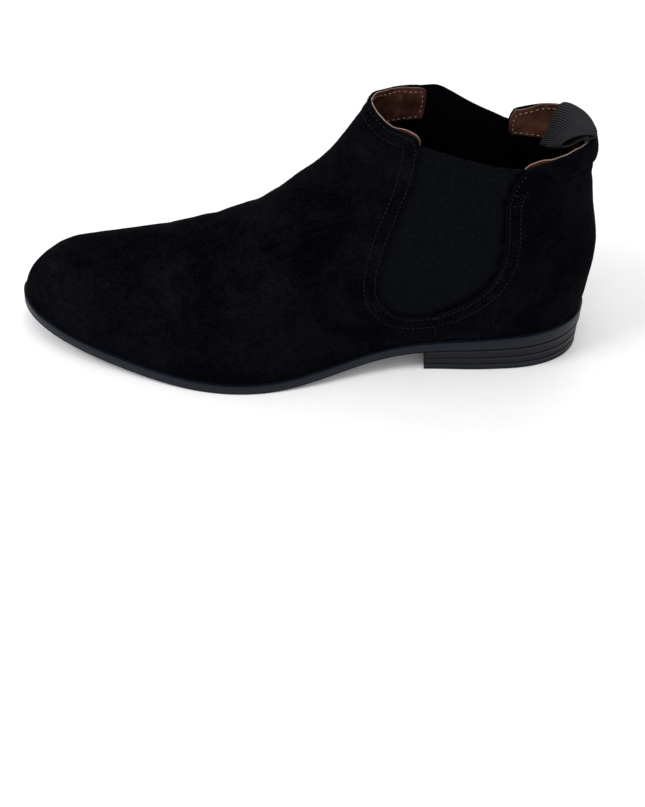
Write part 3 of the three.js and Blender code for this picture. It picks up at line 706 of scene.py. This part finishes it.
def quarter_shape(x, y, z, side):
    """The padded roll of the topline with its pressed line below, and the closed back seam."""
    spot = np.stack([x, y, z], -1)
    lift = .2 * ripple(spot, 30, 13) + .07 * ripple(spot, 8, 14)
    pressed = np.interp(x, pressed_x, pressed_z)
    top = np.interp(x, roll_top_x, roll_top_z)
    rolled = np.clip((z - pressed) / np.maximum(top - pressed, 2), 0, 1)
    fade = 1 - ease(40, 48, x)
    crease = z - pressed
    hollow = .95 * np.exp(-((crease + .4) / 1.3) ** 2) + .9 * np.exp(-((crease + 6.5) / 4.5) ** 2)
    lift = lift + fade * (1.5 * np.sin(math.pi * rolled) ** .7 - hollow)
    backward = np.clip(x - back_curve(z), 0, None)
    lift = lift - .35 * np.exp(-(backward / .9) ** 2)
    return lift * np.clip(reach(quarter_edge[side], x, z, closed=False) / 1.6, .25, 1)


for name, side, node in (("quarter_outer_suede", 1, "quarter_lateral"),
                         ("quarter_inner_suede", -1, "quarter_medial")):
    quarter = panel(name, quarter_outline, (side,), lambda x, z, side: 0 * x, suede_thickness, edge=.6,
                    shape=quarter_shape, seam_gap=seam_half_gap)
    place_piece(quarter, "root", "suede", suede, node)

# ---- Gores: woven elastic let in at each side, held under the suede all round and open at the top.
# The web's own selvedge makes the rolled top edge; ribs of covered rubber run along the boot.
gore_thickness = .9
gore_allowance = 7.5
gore_back_line = {s: smooth(gore_back[s]) for s in (1, -1)}
opening = {s: smooth(np.vstack([gore_front[s], gore_back[s][1:]])) for s in (1, -1)}


def left_of(way):
    """The way to the left of a flat line that goes along way."""
    way = unit(way)
    return np.stack([-way[:, 1], way[:, 0]], -1)


def moved_out(line, by):
    """A line set off to its left by a distance, without the points that would cross over."""
    moved = line + left_of(np.gradient(line, axis=0)) * by
    near = np.array([np.min(np.hypot(*(line - p).T)) for p in moved])
    return moved[near > abs(by) * .97]


gore_top = {1: [(125, 142.2), (112, 139.2), (102.6, 137.6), (87, 134.2), (72, 129.8), (60, 127.2),
                (48, 126.2), (38, 126), (20, 126)],
            -1: [(125, 144.5), (105, 142.8), (96, 142.2), (90, 142), (86.5, 141), (81, 137.9), (72.7, 133),
                 (64.4, 128.6), (56, 125), (48.8, 122), (38, 121), (20, 120.5)]}
gore_top_line = {s: smooth(gore_top[s]) for s in (1, -1)}
top_height = {s: curve(sorted((float(x), float(z)) for x, z in gore_top_line[s][::4])) for s in (1, -1)}
gore_outline = {}
for side in (1, -1):
    wide = moved_out(opening[side], gore_allowance)
    under_top = wide[wide[:, 1] < top_height[side](wide[:, 0]) - .3]
    across_top = gore_top_line[side]
    across_top = across_top[(across_top[:, 0] < under_top[0, 0]) & (across_top[:, 0] > under_top[-1, 0])]
    gore_outline[side] = np.vstack([under_top, across_top[::-1]])


def gore_depth(x, z, side):
    """The web sits further in along its rear edge, where the foot's heel draws it tight."""
    return 1.6 + .5 * (1 - ease(2, 22, reach(gore_back_line[side], x, z, closed=False)))


def gore_rear_shadow(x, z, side):
    """Painted shadow where the web dives under the suede along the rear edge."""
    return 1 - ease(.9, 2.1, reach(gore_back_line[side], x, z, closed=False))


def gore_shape(x, y, z, side):
    """The selvedge's rolled bead along the top, over a slightly slack web."""
    below_top = top_height[side](x) - z
    bead = .42 * np.exp(-((below_top - 1.0) / .75) ** 2)
    return bead - .3 * np.exp(-((below_top - 2.8) / .7) ** 2) + .14 * ripple(np.stack([x, y, z], -1), 26, 23)


def woven_ribs():
    """Shader group: ribs of a web, crossed by finer threads, with painted shade in the valleys and painted
    light on the crests.
    """
    tree, given, made = shader_group("woven_ribs", {"Along": "Float", "Across": "Float", "Rib": "Float",
                                                    "Thread": "Float", "Valley": "Color", "Crest": "Color"},
                                     {"Color": "Color", "Height": "Float"})
    loose = noise(tree, object_spot(tree), 380)
    shake = span(tree, loose, low=-.7, high=.7)

    def wave(place, pitch, shaken):
        turns = work_out(tree, "MULTIPLY", work_out(tree, "DIVIDE", place, pitch), 6.2832)
        if shaken:
            turns = work_out(tree, "ADD", turns, shake)
        return span(tree, add(tree, "Math", [(0, turns)], operation="SINE").outputs[0], -1.0)
    rib = wave(given["Along"], given["Rib"], True)
    thread = wave(given["Across"], given["Thread"], False)
    crossed = work_out(tree, "ADD", rib, work_out(tree, "MULTIPLY", rib, thread))
    height = work_out(tree, "MULTIPLY", crossed, .5)
    crest_painted_light = work_out(tree, "MULTIPLY", height, loose, clamp=True)
    # Painted light and shade: crests lighter and valleys darker, unevened by noise.
    put(tree, made["Color"], dye(tree, crest_painted_light, given["Valley"], given["Crest"]))
    put(tree, made["Height"], height)
    return tree


rib_group = woven_ribs()


def ribbed(tree, rib, thread, valley, crest):
    """Ribs that run along the boot, one above the other."""
    place = add(tree, "SeparateXYZ", [("Vector", object_spot(tree))]).outputs
    return use_group(tree, rib_group, Along=place["Z"], Across=place["X"], Rib=rib, Thread=thread,
                     Valley=valley, Crest=crest)


elastic, elastic_tree, elastic_shader = finish("charcoal_elastic", {
    "Roughness": .9, "Specular IOR Level": .012, "Sheen Weight": .005, "Sheen Roughness": .5})
# Valley and crest colours: painted shade in the rib valleys, painted light on the crests.
elastic_face = ribbed(elastic_tree, .00105, .0008, (.0010, .0012, .0020, 1), (.0098, .0107, .0148, 1))
# Painted shade: the web's inner face is coloured darker than its outer face.
elastic_inner_painted_shade = dye(elastic_tree, kept_mark(elastic_tree, "inside"), elastic_face["Color"],
                    (.0012, .0012, .0022, 1))
# Painted shadow: the web is darkened within about 2 mm of its rear edge, under the suede's edge.
elastic_with_rear_shadow = dye(elastic_tree, kept_mark(elastic_tree, "rear_edge_shadow"), elastic_inner_painted_shade, (.0003, .0003, .0006, 1))
surface(elastic_tree, elastic_shader, elastic_with_rear_shadow, relief(elastic_tree, elastic_face["Height"], .7, .0003))

for name, side, node in (("gore_outer_elastic", 1, "gore_lateral"),
                         ("gore_inner_elastic", -1, "gore_medial")):
    gore = panel(name, gore_outline, (side,), gore_depth, gore_thickness, edge=.35, shape=gore_shape,
                 marks={"rear_edge_shadow": gore_rear_shadow})
    place_piece(gore, "root", "elastic", elastic, node)

# ---- Linings and leather facings: black textile inside the shaft and forepart, brown leather at the rim.
# The facings lie under the rim with a pinked raw edge that shows as a fine tan line, and are sewn through.
lining_thickness, facing_thickness = .9, .75
facing_front_low, facing_back_low = 123.0, 112.5
facing_front_rim, facing_back_rim = 138, 126
vamp_rim_points, quarter_rim_points = 42, 34
front_middle, back_middle = 121.5, 14.0


def lining_depth(x, z, side):
    """Against the suede at the rim, clear of the gore's hidden edge, and at the last's depth below."""
    rim = np.minimum(reach(vamp_edge[side][-vamp_rim_points:], x, z, closed=False),
                     reach(quarter_edge[side][-quarter_rim_points:], x, z, closed=False))
    hug = 1.42 + (3.25 - 1.42) * ease(3, 16, rim) + .5 * (1 - ease(70, 95, z)) * (1 - ease(95, 120, x))
    beside = 1 - ease(gore_allowance + 1, gore_allowance + 7, reach(opening[side], x, z, closed=False))
    return hug + (np.maximum(hug, 3.05) - hug) * beside


def facing_shape(x, y, z, side):
    spot = np.stack([x, y, z], -1)
    return .14 * ripple(spot, 12, 31) + .04 * ripple(spot, 5, 32)


def clipped(outline, low=None, high=None):
    """The part of an outline above low or below high."""
    def side_of(p):
        return p[1] - low if low is not None else high - p[1]
    kept = []
    for a, b in zip(outline, np.roll(outline, -1, 0)):
        sa, sb = side_of(a), side_of(b)
        if sa >= 0:
            kept.append(a)
        if (sa >= 0) != (sb >= 0):
            kept.append(a + (b - a) * sa / (sa - sb))
    return np.array(kept)


def run_along(line):
    """How far along a line each of its points is."""
    return np.concatenate([[0], np.cumsum(np.linalg.norm(np.diff(line, axis=0), axis=1))])


def pinked(line, away=1, pitch=2.2, tooth=.5):
    """A zigzag cut along a line, standing just above it, and straight at the boot's middle."""
    run = run_along(line)
    count = int(run[-1] / (pitch / 2))
    at = np.linspace(0, run[-1], count + 1)
    base = np.stack([np.interp(at, run, line[:, k]) for k in (0, 1)], -1)
    at_middle = (base[:, 0] > front_middle) | (base[:, 0] < back_middle)
    stand = away * np.where(at_middle, tooth / 2, np.where(np.arange(count + 1) % 2, tooth, .05))[:, None]
    return base + left_of(np.gradient(base, axis=0)) * stand


textile, textile_tree, textile_shader = finish("black_lining_cloth",
                                               {"Roughness": .95, "Specular IOR Level": .02})
# Valley and crest colours: painted shade in the rib valleys, painted light on the crests.
cloth_face = ribbed(textile_tree, .0008, .0008, (.0004, .0004, .0006, 1), (.0026, .0026, .0036, 1))
surface(textile_tree, textile_shader, cloth_face["Color"],
        relief(textile_tree, cloth_face["Height"], .5, .0002))


def leather_grain():
    """Shader group: grain, creases with painted shade in them, and a raw cut edge."""
    colours = {"Dark": "Color", "Light": "Color", "Raw Edge": "Color"}
    tree, given, made = shader_group("leather_grain", colours, colour_rough_height)
    spot = object_spot(tree)
    pores = add(tree, "TexVoronoi", [("Vector", spot), ("Scale", 1100.0)]).outputs["Distance"]
    folds = span(tree, noise(tree, spot, 70, 4, distortion=.8), .33, .49)
    spread = span(tree, noise(tree, spot, 60, 3), .35, .68)
    # Colour runs from Dark to Light: random tone from spread, and painted shade in the creases from folds.
    hide = dye(tree, work_out(tree, "MULTIPLY", spread, folds), given["Dark"], given["Light"])
    outer_half_of_edge = span(tree, kept_mark(tree, "inside"), .62, .42)
    bare = work_out(tree, "MULTIPLY", kept_mark(tree, "rim"), outer_half_of_edge)
    put(tree, made["Color"], dye(tree, bare, hide, given["Raw Edge"]))
    put(tree, made["Roughness"], span(tree, folds, low=.62, high=.42))
    put(tree, made["Height"], work_out(tree, "ADD", work_out(tree, "MULTIPLY", pores, .35), folds))
    return tree


brown, brown_tree, brown_shader = finish("brown_lining_leather", {"Specular IOR Level": .12})
brown_face = use_group(brown_tree, leather_grain(), Dark=(.022, .0075, .005, 1), Light=(.122, .048, .033, 1),
                       Raw_Edge=(.23, .165, .135, 1))
surface(brown_tree, brown_shader, brown_face["Color"],
        relief(brown_tree, brown_face["Height"], .35, .0003), brown_face["Roughness"])

front_facing_outline, back_facing_outline, vamp_lining_outline, quarter_lining_outline = {}, {}, {}, {}
for side in (1, -1):
    rising, falling = vamp_edge[side], quarter_edge[side]
    front_start = int(np.argmax(rising[:, 1] > facing_front_rim))
    back_start = int(np.argmax(falling[:, 1] > facing_back_rim))
    front_rim = pinked(rising[front_start:])
    back_rim = pinked(falling[back_start:], away=-1)
    front_facing_outline[side] = clipped(np.vstack([rising[:front_start], front_rim, vamp_foot]),
                                         low=facing_front_low)
    back_facing_outline[side] = clipped(np.vstack([falling[:back_start], back_rim, quarter_foot]),
                                        low=facing_back_low)
    vamp_lining_outline[side] = clipped(vamp_outline[side], high=facing_front_low - .2)
    quarter_lining_outline[side] = clipped(quarter_outline[side], high=facing_back_low - .2)
for name, outline, slot, material, node in (
        ("vamp_lining_cloth", vamp_lining_outline, "textile", textile, "vamp_lining"),
        ("quarter_lining_cloth", quarter_lining_outline, "textile", textile, "quarter_lining"),
        ("front_facing_leather", front_facing_outline, "brown_leather", brown, "front_facing"),
        ("back_facing_leather", back_facing_outline, "brown_leather", brown, "back_facing")):
    thickness = facing_thickness if material is brown else lining_thickness
    lining = panel(name, outline, (1, -1), lining_depth, thickness, edge=.25,
                   shape=facing_shape if material is brown else None)
    place_piece(lining, "root", slot, material, node)

# ---- Stitching: bonded thread, two rows round each gore, a row along each facing, bars where rows end.
# Each stitch is one short length of thread that dips into the leather at both ends.
near_row, far_row = 1.9, 7.5
strand_sides = 6
strand_shape = [(0, -.35, .35), (.16, .08, .9), (.5, .2, 1), (.84, .08, .9), (1, -.35, .35)]


def thread_finish(name, specular, dark, light):
    made, tree, shader = finish(name, {"Roughness": .6, "Specular IOR Level": specular})
    strand = noise(tree, object_spot(tree), 1400)
    surface(tree, shader, dye(tree, strand, dark, light), relief(tree, strand, .4, .0002))
    return made


thread_black = thread_finish("black_thread", .1, (.003, .0032, .0047, 1), (.010, .011, .0155, 1))
thread_tan = thread_finish("tan_thread", .2, (.12, .075, .055, 1), (.34, .235, .18, 1))


def stitch_rows(name, rows, slot, material, pitch=2.7, length=1.9, thick=.21):
    """rows are (side-view line, side, depth or a function of it, whether the stitches face inward)."""
    places, polygons = [], []
    angles = np.linspace(0, 2 * math.pi, strand_sides, endpoint=False)
    section = [(math.cos(a), math.sin(a)) for a in angles]
    for line, side, depth, inward in rows:
        x, z = np.array(line, float).T
        deep = depth(x, z, side) if callable(depth) else depth + 0 * x
        centre, out = on_skin(x, z, side, deep)
        if inward:
            out = -out
        run = run_along(centre)

        def along(at, values, run=run):
            return np.array([np.interp(at, run, values[:, k]) for k in range(3)])
        for start in np.arange(.4, run[-1] - length, pitch):
            base = len(places)
            for share, rise, girth in strand_shape:
                at = start + share * length
                c, n = along(at, centre), along(at, out)
                way = along(at + .3, centre) - along(at - .3, centre)
                way /= max(np.linalg.norm(way), 1e-9)
                beside = np.cross(way, n)
                for a, b in section:
                    places.append(c + n * rise + (beside * a + n * b) * thick * girth)
            for ring in range(len(strand_shape) - 1):
                first = base + ring * strand_sides
                for k in range(strand_sides):
                    a, b = first + k, first + (k + 1) % strand_sides
                    polygons.append((a, b, b + strand_sides, a + strand_sides))
            last = base + (len(strand_shape) - 1) * strand_sides
            polygons.append(tuple(base + k for k in reversed(range(strand_sides))))
            polygons.append(tuple(last + k for k in range(strand_sides)))
    return place_piece(make(name, np.array(places), polygons), "root", slot, material)


def short_of_ridge(line):
    """A row's line up to the ridge, with close points, as the skin turns fast there."""
    place = np.arange(0, len(line) - 1, .05)
    line = np.stack([np.interp(place, range(len(line)), line[:, k]) for k in (0, 1)], -1)
    turn, depth = fan_place(line[:, 0], line[:, 1])
    return line[depth > ridge(turn) + .004]


rows = []
for side in (1, -1):
    for by in (near_row, far_row):
        rows.append((short_of_ridge(moved_out(vamp_edge[side], -by)), side, -.02, False))
        line = moved_out(gore_back_line[side], by)
        rows.append((line[line[:, 1] < (124 if by == near_row else 120.5)], side, -.02, False))
    for low in (106.5, 112.5):
        sewn = np.interp(low, gore_back[side][-5:, 1], gore_back[side][-5:, 0])
        rows.append(([(sewn - near_row - .5, low), (sewn - far_row, low + .6)], side, -.02, False))
stitch_rows("gore_stitching", rows, "textile", thread_black)
bars = []
for side in (1, -1):
    bars += [([(seam_x + k * .55, 36.0), (seam_x + k * .55, 32.8)], side, -.05, False) for k in (-1, 0, 1)]
    bars += [([(seam_x - .9, 29), (seam_x - .9, 22.5)], side, -.05, False),
             ([(56, 24.2), (40, 26.0), (28, 27.3)], side, .25, False)]
stitch_rows("side_seam_stitching", bars, "textile", thread_black, pitch=1.9, length=1.5)


def inner_face(x, z, side):
    return lining_depth(x, z, side) + facing_thickness


facing_rows = []
for side in (1, -1):
    front_x = np.linspace(97.5 if side < 0 else 104.5, 136.5, 30)
    back_x = np.linspace(52.5 if side > 0 else 45.5, 8.2, 40)
    front_low, back_low = facing_front_low + 1.6, facing_back_low + 1.6
    front_row = moved_out(vamp_edge[side], -2.2)
    back_row = moved_out(quarter_edge[side], 2.2)
    for line in (np.column_stack([front_x, front_low + 0 * front_x]), front_row[front_row[:, 1] > front_low],
                 back_row[back_row[:, 1] > back_low], np.column_stack([back_x, back_low + 0 * back_x])):
        facing_rows.append((short_of_ridge(line[line[:, 0] > 7.2]), side, inner_face, True))
stitch_rows("facing_stitching", facing_rows, "brown_leather", thread_tan, pitch=3.0, length=2.0, thick=.24)

# ---- Pull tab: one length of ribbed webbing, caught between the back facing and the suede.
# It stands up to the rim, folds forward and hangs into the boot as a flattened, slightly twisted loop.
tape_thickness = 1.2
tape_half = 15.0
rib_pitch, rib_height, steps_per_rib = 1.2, .3, 6
tape_across = np.linspace(-1, 1, 13)


def wall_at(y, z, deep):
    """Where the back wall's inner layer passes a place across the boot."""
    side = 1 if y > 0 else -1
    x = np.arange(float(back_curve(z)) + .02, 70, .1)
    place, _ = on_skin(x, z + 0 * x, side, deep + 0 * x)
    order = np.argsort(side * place[:, 1])
    return float(np.interp(abs(y), side * place[order, 1], place[order, 0]))


def two_skins(rows, columns):
    """Faces of a net of points and of a second net behind it, which look away from each other."""
    polygons = []
    for i in range(rows - 1):
        for j in range(columns - 1):
            a, b = i * columns + j, (i + 1) * columns + j
            polygons.append((a, a + 1, b + 1, b))
            polygons.append(tuple(k + rows * columns for k in (a, b, b + 1, a + 1)))
    return polygons


def tape(name, lines):
    """A ribbed tape from one control line per place across its width; its crests are marked."""
    strips = []
    for line in lines:
        dense = smooth(line, 10)
        strips.append((dense, run_along(dense)))
    ribs = int(np.median([run[-1] for _, run in strips]) / rib_pitch)
    count = ribs * steps_per_rib
    middle = np.array([[[np.interp(s * run[-1], run, dense[:, k]) for k in range(3)]
                        for s in np.linspace(0, 1, count + 1)] for dense, run in strips])
    along = np.gradient(middle, axis=1)
    across = np.gradient(middle, axis=0)
    out = unit(np.cross(along, across))
    crest = np.abs(np.sin(np.arange(count + 1) * math.pi / steps_per_rib)) ** .8
    half = tape_thickness / 2 - rib_height * (1 - crest)
    edge = np.ones(len(lines))
    edge[0] = edge[-1] = .7
    raised = out * (half[None, :] * edge[:, None])[..., None]
    w, n = len(lines), count + 1
    places = np.vstack([(middle + raised).reshape(-1, 3), (middle - raised).reshape(-1, 3)])
    polygons = two_skins(w, n)
    for j in range(n - 1):
        for i in (0, w - 1):
            a, b = i * n + j, i * n + j + 1
            polygons.append((a, b, b + w * n, a + w * n))
    for i in range(w - 1):
        for j in (0, n - 1):
            a, b = i * n + j, (i + 1) * n + j
            polygons.append((a, b, b + w * n, a + w * n))
    return make(name, places, polygons, {"crest": np.tile(crest, 2 * w)})


crest_line = curve([(-15, 21.5), (-10.7, 17.8), (-3.9, 14.6), (3.6, 12.7), (11, 11.9), (15, 12.3)])
# Each selvedge of the loop as (x, z) from behind the bend to the tip and back underneath.
far_edge = [(26.0, 137.9), (29.3, 126.6), (32.2, 116.4), (32.9, 114.3), (31.2, 115.0), (27.0, 125.4),
            (23.4, 134.6), (19.0, 136.4)]
near_edge = [(17.6, 139.8), (24.0, 138.6), (28.2, 135.7), (29.5, 133.6), (28.5, 132.2), (24.4, 133.4),
             (20.4, 136.2), (16.2, 138.2)]
base_lines, loop_lines = [], []
for share in tape_across:
    y = share * tape_half
    near = (share + 1) / 2
    held = [(wall_at(y, z, 2.15), y, z) for z in (114.0, 120.0, 127.0, 132.0, 134.4)]
    wall_x = held[-1][0]
    base_lines.append(held + [(wall_x + .15, y, 136.0)])
    bend = [(wall_x + .2, y, 136.2), (float(crest_line(y)), y, 138.7)]
    drape = [(fx + (nx - fx) * near, y, fz + (nz - fz) * near - 1.2 * math.sin(math.pi * near))
             for (fx, fz), (nx, nz) in zip(far_edge, near_edge)]
    loop_lines.append(bend + drape)

webbing, webbing_tree, webbing_shader = finish("ribbed_webbing", {
    "Roughness": .7, "Specular IOR Level": .08, "Sheen Weight": .015, "Sheen Roughness": .4})
weave_spot = object_spot(webbing_tree)
weave_cells = noise(webbing_tree, weave_spot, 1500)
# Painted highlight on the rib crests and painted shade in the valleys, unevened by a broad noise.
crest_highlight_noise = span(webbing_tree, noise(webbing_tree, weave_spot, 140), low=.55, high=1.1)
ridge_mask = span(webbing_tree, kept_mark(webbing_tree, "crest"), .62, .98)
crest_painted_highlight = work_out(webbing_tree, "MULTIPLY", ridge_mask, crest_highlight_noise, clamp=True)
surface(webbing_tree, webbing_shader,
        dye(webbing_tree, crest_painted_highlight, (.0012, .0014, .0024, 1), (.034, .034, .039, 1)),
        relief(webbing_tree, weave_cells, .5, .0002))

tab_base = tape("pull_tab_held_end", base_lines)
place_piece(tab_base, "root", "webbing", webbing, "pull_tab_base")
tab_loop = tape("pull_tab_webbing", loop_lines)
tab_loop.data.materials.append(webbing)
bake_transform(tab_loop)
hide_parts("pull_tab_loop")

# ---- Stiffeners and bottom: counter and toe puff between suede and lining, then insole board, cork
# filler and steel shank under it, and five nails that hold the heel from inside.
board, board_tree, board_shader = finish("fibre_board", {"Roughness": .9, "Specular IOR Level": .2})
board_fibre = noise(board_tree, object_spot(board_tree), 700, 6)
surface(board_tree, board_shader, dye(board_tree, board_fibre, (.16, .10, .06, 1), (.36, .25, .16, 1)),
        relief(board_tree, board_fibre, .4, .0003))
cork, cork_tree, cork_shader = finish("cork_filler", {"Roughness": .9, "Specular IOR Level": .2})
cork_cells = add(cork_tree, "TexVoronoi", [("Vector", object_spot(cork_tree)), ("Scale", 420.0)])
cork_grains = cork_cells.outputs["Distance"]
surface(cork_tree, cork_shader, dye(cork_tree, cork_grains, (.13, .07, .035, 1), (.42, .27, .15, 1)),
        relief(cork_tree, cork_grains, .6, .0006))
steel, steel_tree, steel_shader = finish("shank_steel", {"Metallic": 1.0, "Specular IOR Level": .5})
rolled_marks = add(steel_tree, "Mapping", [("Vector", object_spot(steel_tree)), ("Scale", (60, 2400, 2400))])
steel_lines = noise(steel_tree, rolled_marks.outputs[0], 1, 4)
put(steel_tree, steel_shader.inputs["Base Color"],
    dye(steel_tree, steel_lines, (.30, .31, .33, 1), (.52, .53, .55, 1)))
put(steel_tree, steel_shader.inputs["Roughness"], span(steel_tree, steel_lines, low=.28, high=.5))
hidden_pieces = {"heel_counter": board, "toe_puff": board, "insole_board": board, "bottom_filler": cork,
                 "shank": steel, **{f"heel_nail_{k}": steel for k in range(1, 6)}}
for node, material in hidden_pieces.items():
    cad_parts[node].data.materials.clear()
    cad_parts[node].data.materials.append(material)

# ---- Sock liner: thin brown leather over foam, glued on the insole board.
# Its edge is skived, and it is pressed a little hollow under heel and ball.
insole_rise = gap + 4.2 + gap + 2.5 + gap
sock_thickness = 1.5
sock_inset = 4.9


def plan_edges(outset, rows_along=150):
    """Outer and inner edge of the bottom in plan, moved out, as pairs of points from heel to toe."""
    first, final = seat_corner()[0], toe_x
    x = first + (final - first) * (1 - np.cos(np.linspace(0, math.pi, rows_along + 1))) / 2
    edges = {}
    for side in (1, -1):
        half = np.sqrt(np.maximum(breadth_squared(x, last_feather(x), side), 0))
        half[0] = half[-1] = 0
        line = np.stack([x, middle_line(x) + side * half], -1)
        way = np.gradient(line, axis=0)
        way[0] = (0, side)
        way[-1] = (0, -side)
        edges[side] = line + left_of(way) * side * outset
    if outset < 0:
        for side in (1, -1):
            low, high = edges[side][0, 0], edges[side][-1, 0]
            edges[side][:, 0] = np.clip(edges[side][:, 0], low, high)
            edges[side][:, 0] = np.maximum.accumulate(edges[side][:, 0])
    return edges[1], edges[-1]


def slab(name, outer, inner, low, high, across=26, edge=.5, profile=None, warp=None):
    """A closed layer between two heights: low(x, y) and high(x, y), with a softly rounded wall."""
    share = (1 - np.cos(np.linspace(0, math.pi, across + 1))) / 2
    net = outer[:, None] + (inner - outer)[:, None] * share[None, :, None]
    if warp is not None:
        net = warp(net)
    n, m = net.shape[:2]
    ring = [(i, 0) for i in range(n)] + [(n - 1, j) for j in range(1, m)] + \
        [(i, m - 1) for i in range(n - 2, -1, -1)] + [(0, j) for j in range(m - 2, 0, -1)]
    line = np.array([net[i, j] for i, j in ring])
    keep = [k for k in range(len(ring)) if np.hypot(*(line[k] - line[k - 1])) > 1e-6]
    ring, line = [ring[k] for k in keep], line[keep]
    out = left_of(np.roll(line, -1, 0) - np.roll(line, 1, 0))
    if np.dot(out[len(out) // 3], line[len(out) // 3] - line.mean(0)) < 0:
        out = -out
    x, y = net[..., 0], net[..., 1]
    top = np.dstack([net, high(x, y)])
    bottom = np.dstack([net, low(x, y)])
    for (i, j), way_out in zip(ring, out):
        top[i, j, :2] -= way_out * edge
        bottom[i, j, :2] -= way_out * edge
    ends = [(i, j) for i in (0, n - 1) for j in range(1, m)]
    for i, j in ends:
        twin = (i, 0)
        if np.hypot(*(net[i, j] - net[twin])) < 1e-6:
            top[i, j], bottom[i, j] = top[twin], bottom[twin]
    places = [top.reshape(-1, 3), bottom.reshape(-1, 3)]
    polygons = two_skins(n, m)
    heights_low, heights_high = low(line[:, 0], line[:, 1]), high(line[:, 0], line[:, 1])
    steps = profile or [(.7, .04), (.95, .1), (1, .2), (1, .5), (1, .8), (.95, .9), (.7, .96)]
    rings = [[i * m + j for i, j in ring]]
    count = 2 * n * m
    for outward, down in steps:
        rise = heights_high + (heights_low - heights_high) * down
        places.append(np.column_stack([line + out * edge * (outward - 1), rise]))
        rings.append([count + k for k in range(len(ring))])
        count += len(ring)
    rings.append([n * m + i * m + j for i, j in ring])
    for upper, lower in zip(rings, rings[1:]):
        for k in range(len(ring)):
            nxt = (k + 1) % len(ring)
            polygons.append((upper[k], lower[k], lower[nxt], upper[nxt]))
    return make(name, np.vstack(places), polygons, sharp=60)


def sock_top(x, y):
    under_heel = np.exp(-((x - 40) / 26) ** 2 - (y / 18) ** 2)
    under_ball = np.exp(-((x - 205) / 30) ** 2 - (y / 26) ** 2)
    hollow = .35 * under_heel + .35 * under_ball
    return feather(x) + insole_rise + sock_thickness - hollow


sock = slab("sock_leather", *plan_edges(-sock_inset), lambda x, y: feather(x) + insole_rise, sock_top)
place_piece(sock, "root", "brown_leather", brown, "sock_liner")

# ---- Outsole: one moulded unit with a smooth satin wall all round and a fine tread underneath.
# The seat is thicker than the forepart, and the wall leans out a little below the suede.
outsole_edge = .7


def tread(x, y):
    """Shallow panels of bars under forepart and waist."""
    half = np.where(y > middle_line(x), outer_half(x), inner_half(x)) * np.sqrt(
        np.maximum(closing(x, toe_round, 2.1), 0))
    inside = half - np.abs(y - middle_line(x))
    panel_mask = ease(5, 6.5, inside) * ease(168, 172, x) * (1 - ease(284, 288, x))
    bars_cut = .5 - .5 * np.cos((x + .35 * np.abs(y - middle_line(x))) * 2 * math.pi / 5.2)
    waist_mask = ease(4, 5.5, inside) * ease(96, 99, x) * (1 - ease(158, 162, x))
    return panel_mask * (.35 + .45 * ease(.35, .65, bars_cut)) + waist_mask * .35


def sole_wear():
    """Shader group: a moulded face with a faint pebble, soft scuffs and slow colour drift."""
    tree, given, made = shader_group("sole_wear", {"Body": "Color", "Scuff": "Color"}, colour_rough_height)
    spot = object_spot(tree)
    drift = noise(tree, spot, 45, 3)
    streak = add(tree, "Mapping", [("Vector", spot), ("Scale", (140, 140, 1500))])
    rubbed = noise(tree, streak.outputs[0], 1, 4)
    even = work_out(tree, "MULTIPLY", drift, span(tree, rubbed, .55, .8, high=.5), clamp=True)
    put(tree, made["Color"], dye(tree, even, given["Body"], given["Scuff"]))
    put(tree, made["Roughness"], span(tree, rubbed, low=.32, high=.58))
    put(tree, made["Height"], noise(tree, spot, 1600))
    return tree


wear_group = sole_wear()


def moulded_finish(name, body, scuff):
    made, tree, shader = finish(name, {"Specular IOR Level": .17})
    face = use_group(tree, wear_group, Body=body, Scuff=scuff)
    surface(tree, shader, face["Color"], relief(tree, face["Height"], .25, .0001), face["Roughness"])
    return made


sole_rubber = moulded_finish("moulded_sole", (.0030, .0050, .0100, 1), (.014, .019, .028, 1))
sole = slab("outsole_moulded", *plan_edges(sole_edge, 230), lambda x, y: underside(x) + tread(x, y),
            lambda x, y: feather(x) + 0 * y, across=44, edge=outsole_edge,
            profile=[(.55, .03), (.9, .08), (1, .16), (1.0, .4), (.95, .7), (.85, .86), (.55, .96)])
place_piece(sole, "root", "moulded_sole", sole_rubber, "outsole")

# ---- Heel: two stacked lifts and a hard top piece, nailed through the seat.
# The front is cut slightly hollow, and thin proud lines mark where the lifts meet.
heel_front, heel_inset, breast_hollow = 89.0, .6, 3.0
top_piece_share, lower_lift_share = .29, .31
joint_gap = .12
lift_wall = [(.5, .03), (1, .08), (1.15, .13), (.8, .2), (.8, .5), (.8, .8), (1.15, .9), (.6, .97)]


def heel_edges(inset):
    outer, inner = plan_edges(sole_edge - inset, 200)
    start = max(outer[0, 0], inner[0, 0])
    x = start + (heel_front - start) * np.linspace(0, 1, 70) ** 1.35
    made = []
    for line in (outer, inner):
        rising = np.maximum.accumulate(line[:, 0])
        made.append(np.stack([x, np.interp(x, rising, line[:, 1])], -1))
    made[0][0] = made[1][0] = (made[0][0] + made[1][0]) / 2
    return made


def breast_cut(net):
    near_front = ease(heel_front - 26, heel_front, net[..., 0])
    net = net.copy()
    net[..., 0] -= near_front * breast_hollow * (1 - (net[..., 1] / 40) ** 2)
    return net


lift_leather = moulded_finish("stacked_lift", (.0035, .0040, .0060, 1), (.020, .020, .022, 1))
splits = [0, top_piece_share, top_piece_share + lower_lift_share, 1]
lifts = [("heel_top_piece_moulded", "moulded_sole", sole_rubber, "heel_top_piece"),
         ("heel_lift_lower_stack", "heel_stack", lift_leather, "heel_lift_lower"),
         ("heel_lift_upper_stack", "heel_stack", lift_leather, "heel_lift_upper")]
for k, (name, slot, material, node) in enumerate(lifts):
    def lift_low(x, y, k=k):
        return underside(x) * splits[k] + (joint_gap if k else 0)

    def lift_high(x, y, k=k):
        return underside(x) * splits[k + 1] - (joint_gap if k < 2 else .2)
    lift = slab(name, *heel_edges(heel_inset), lift_low, lift_high, across=30, edge=.4, warp=breast_cut,
                profile=lift_wall)
    place_piece(lift, "root", slot, material, node)
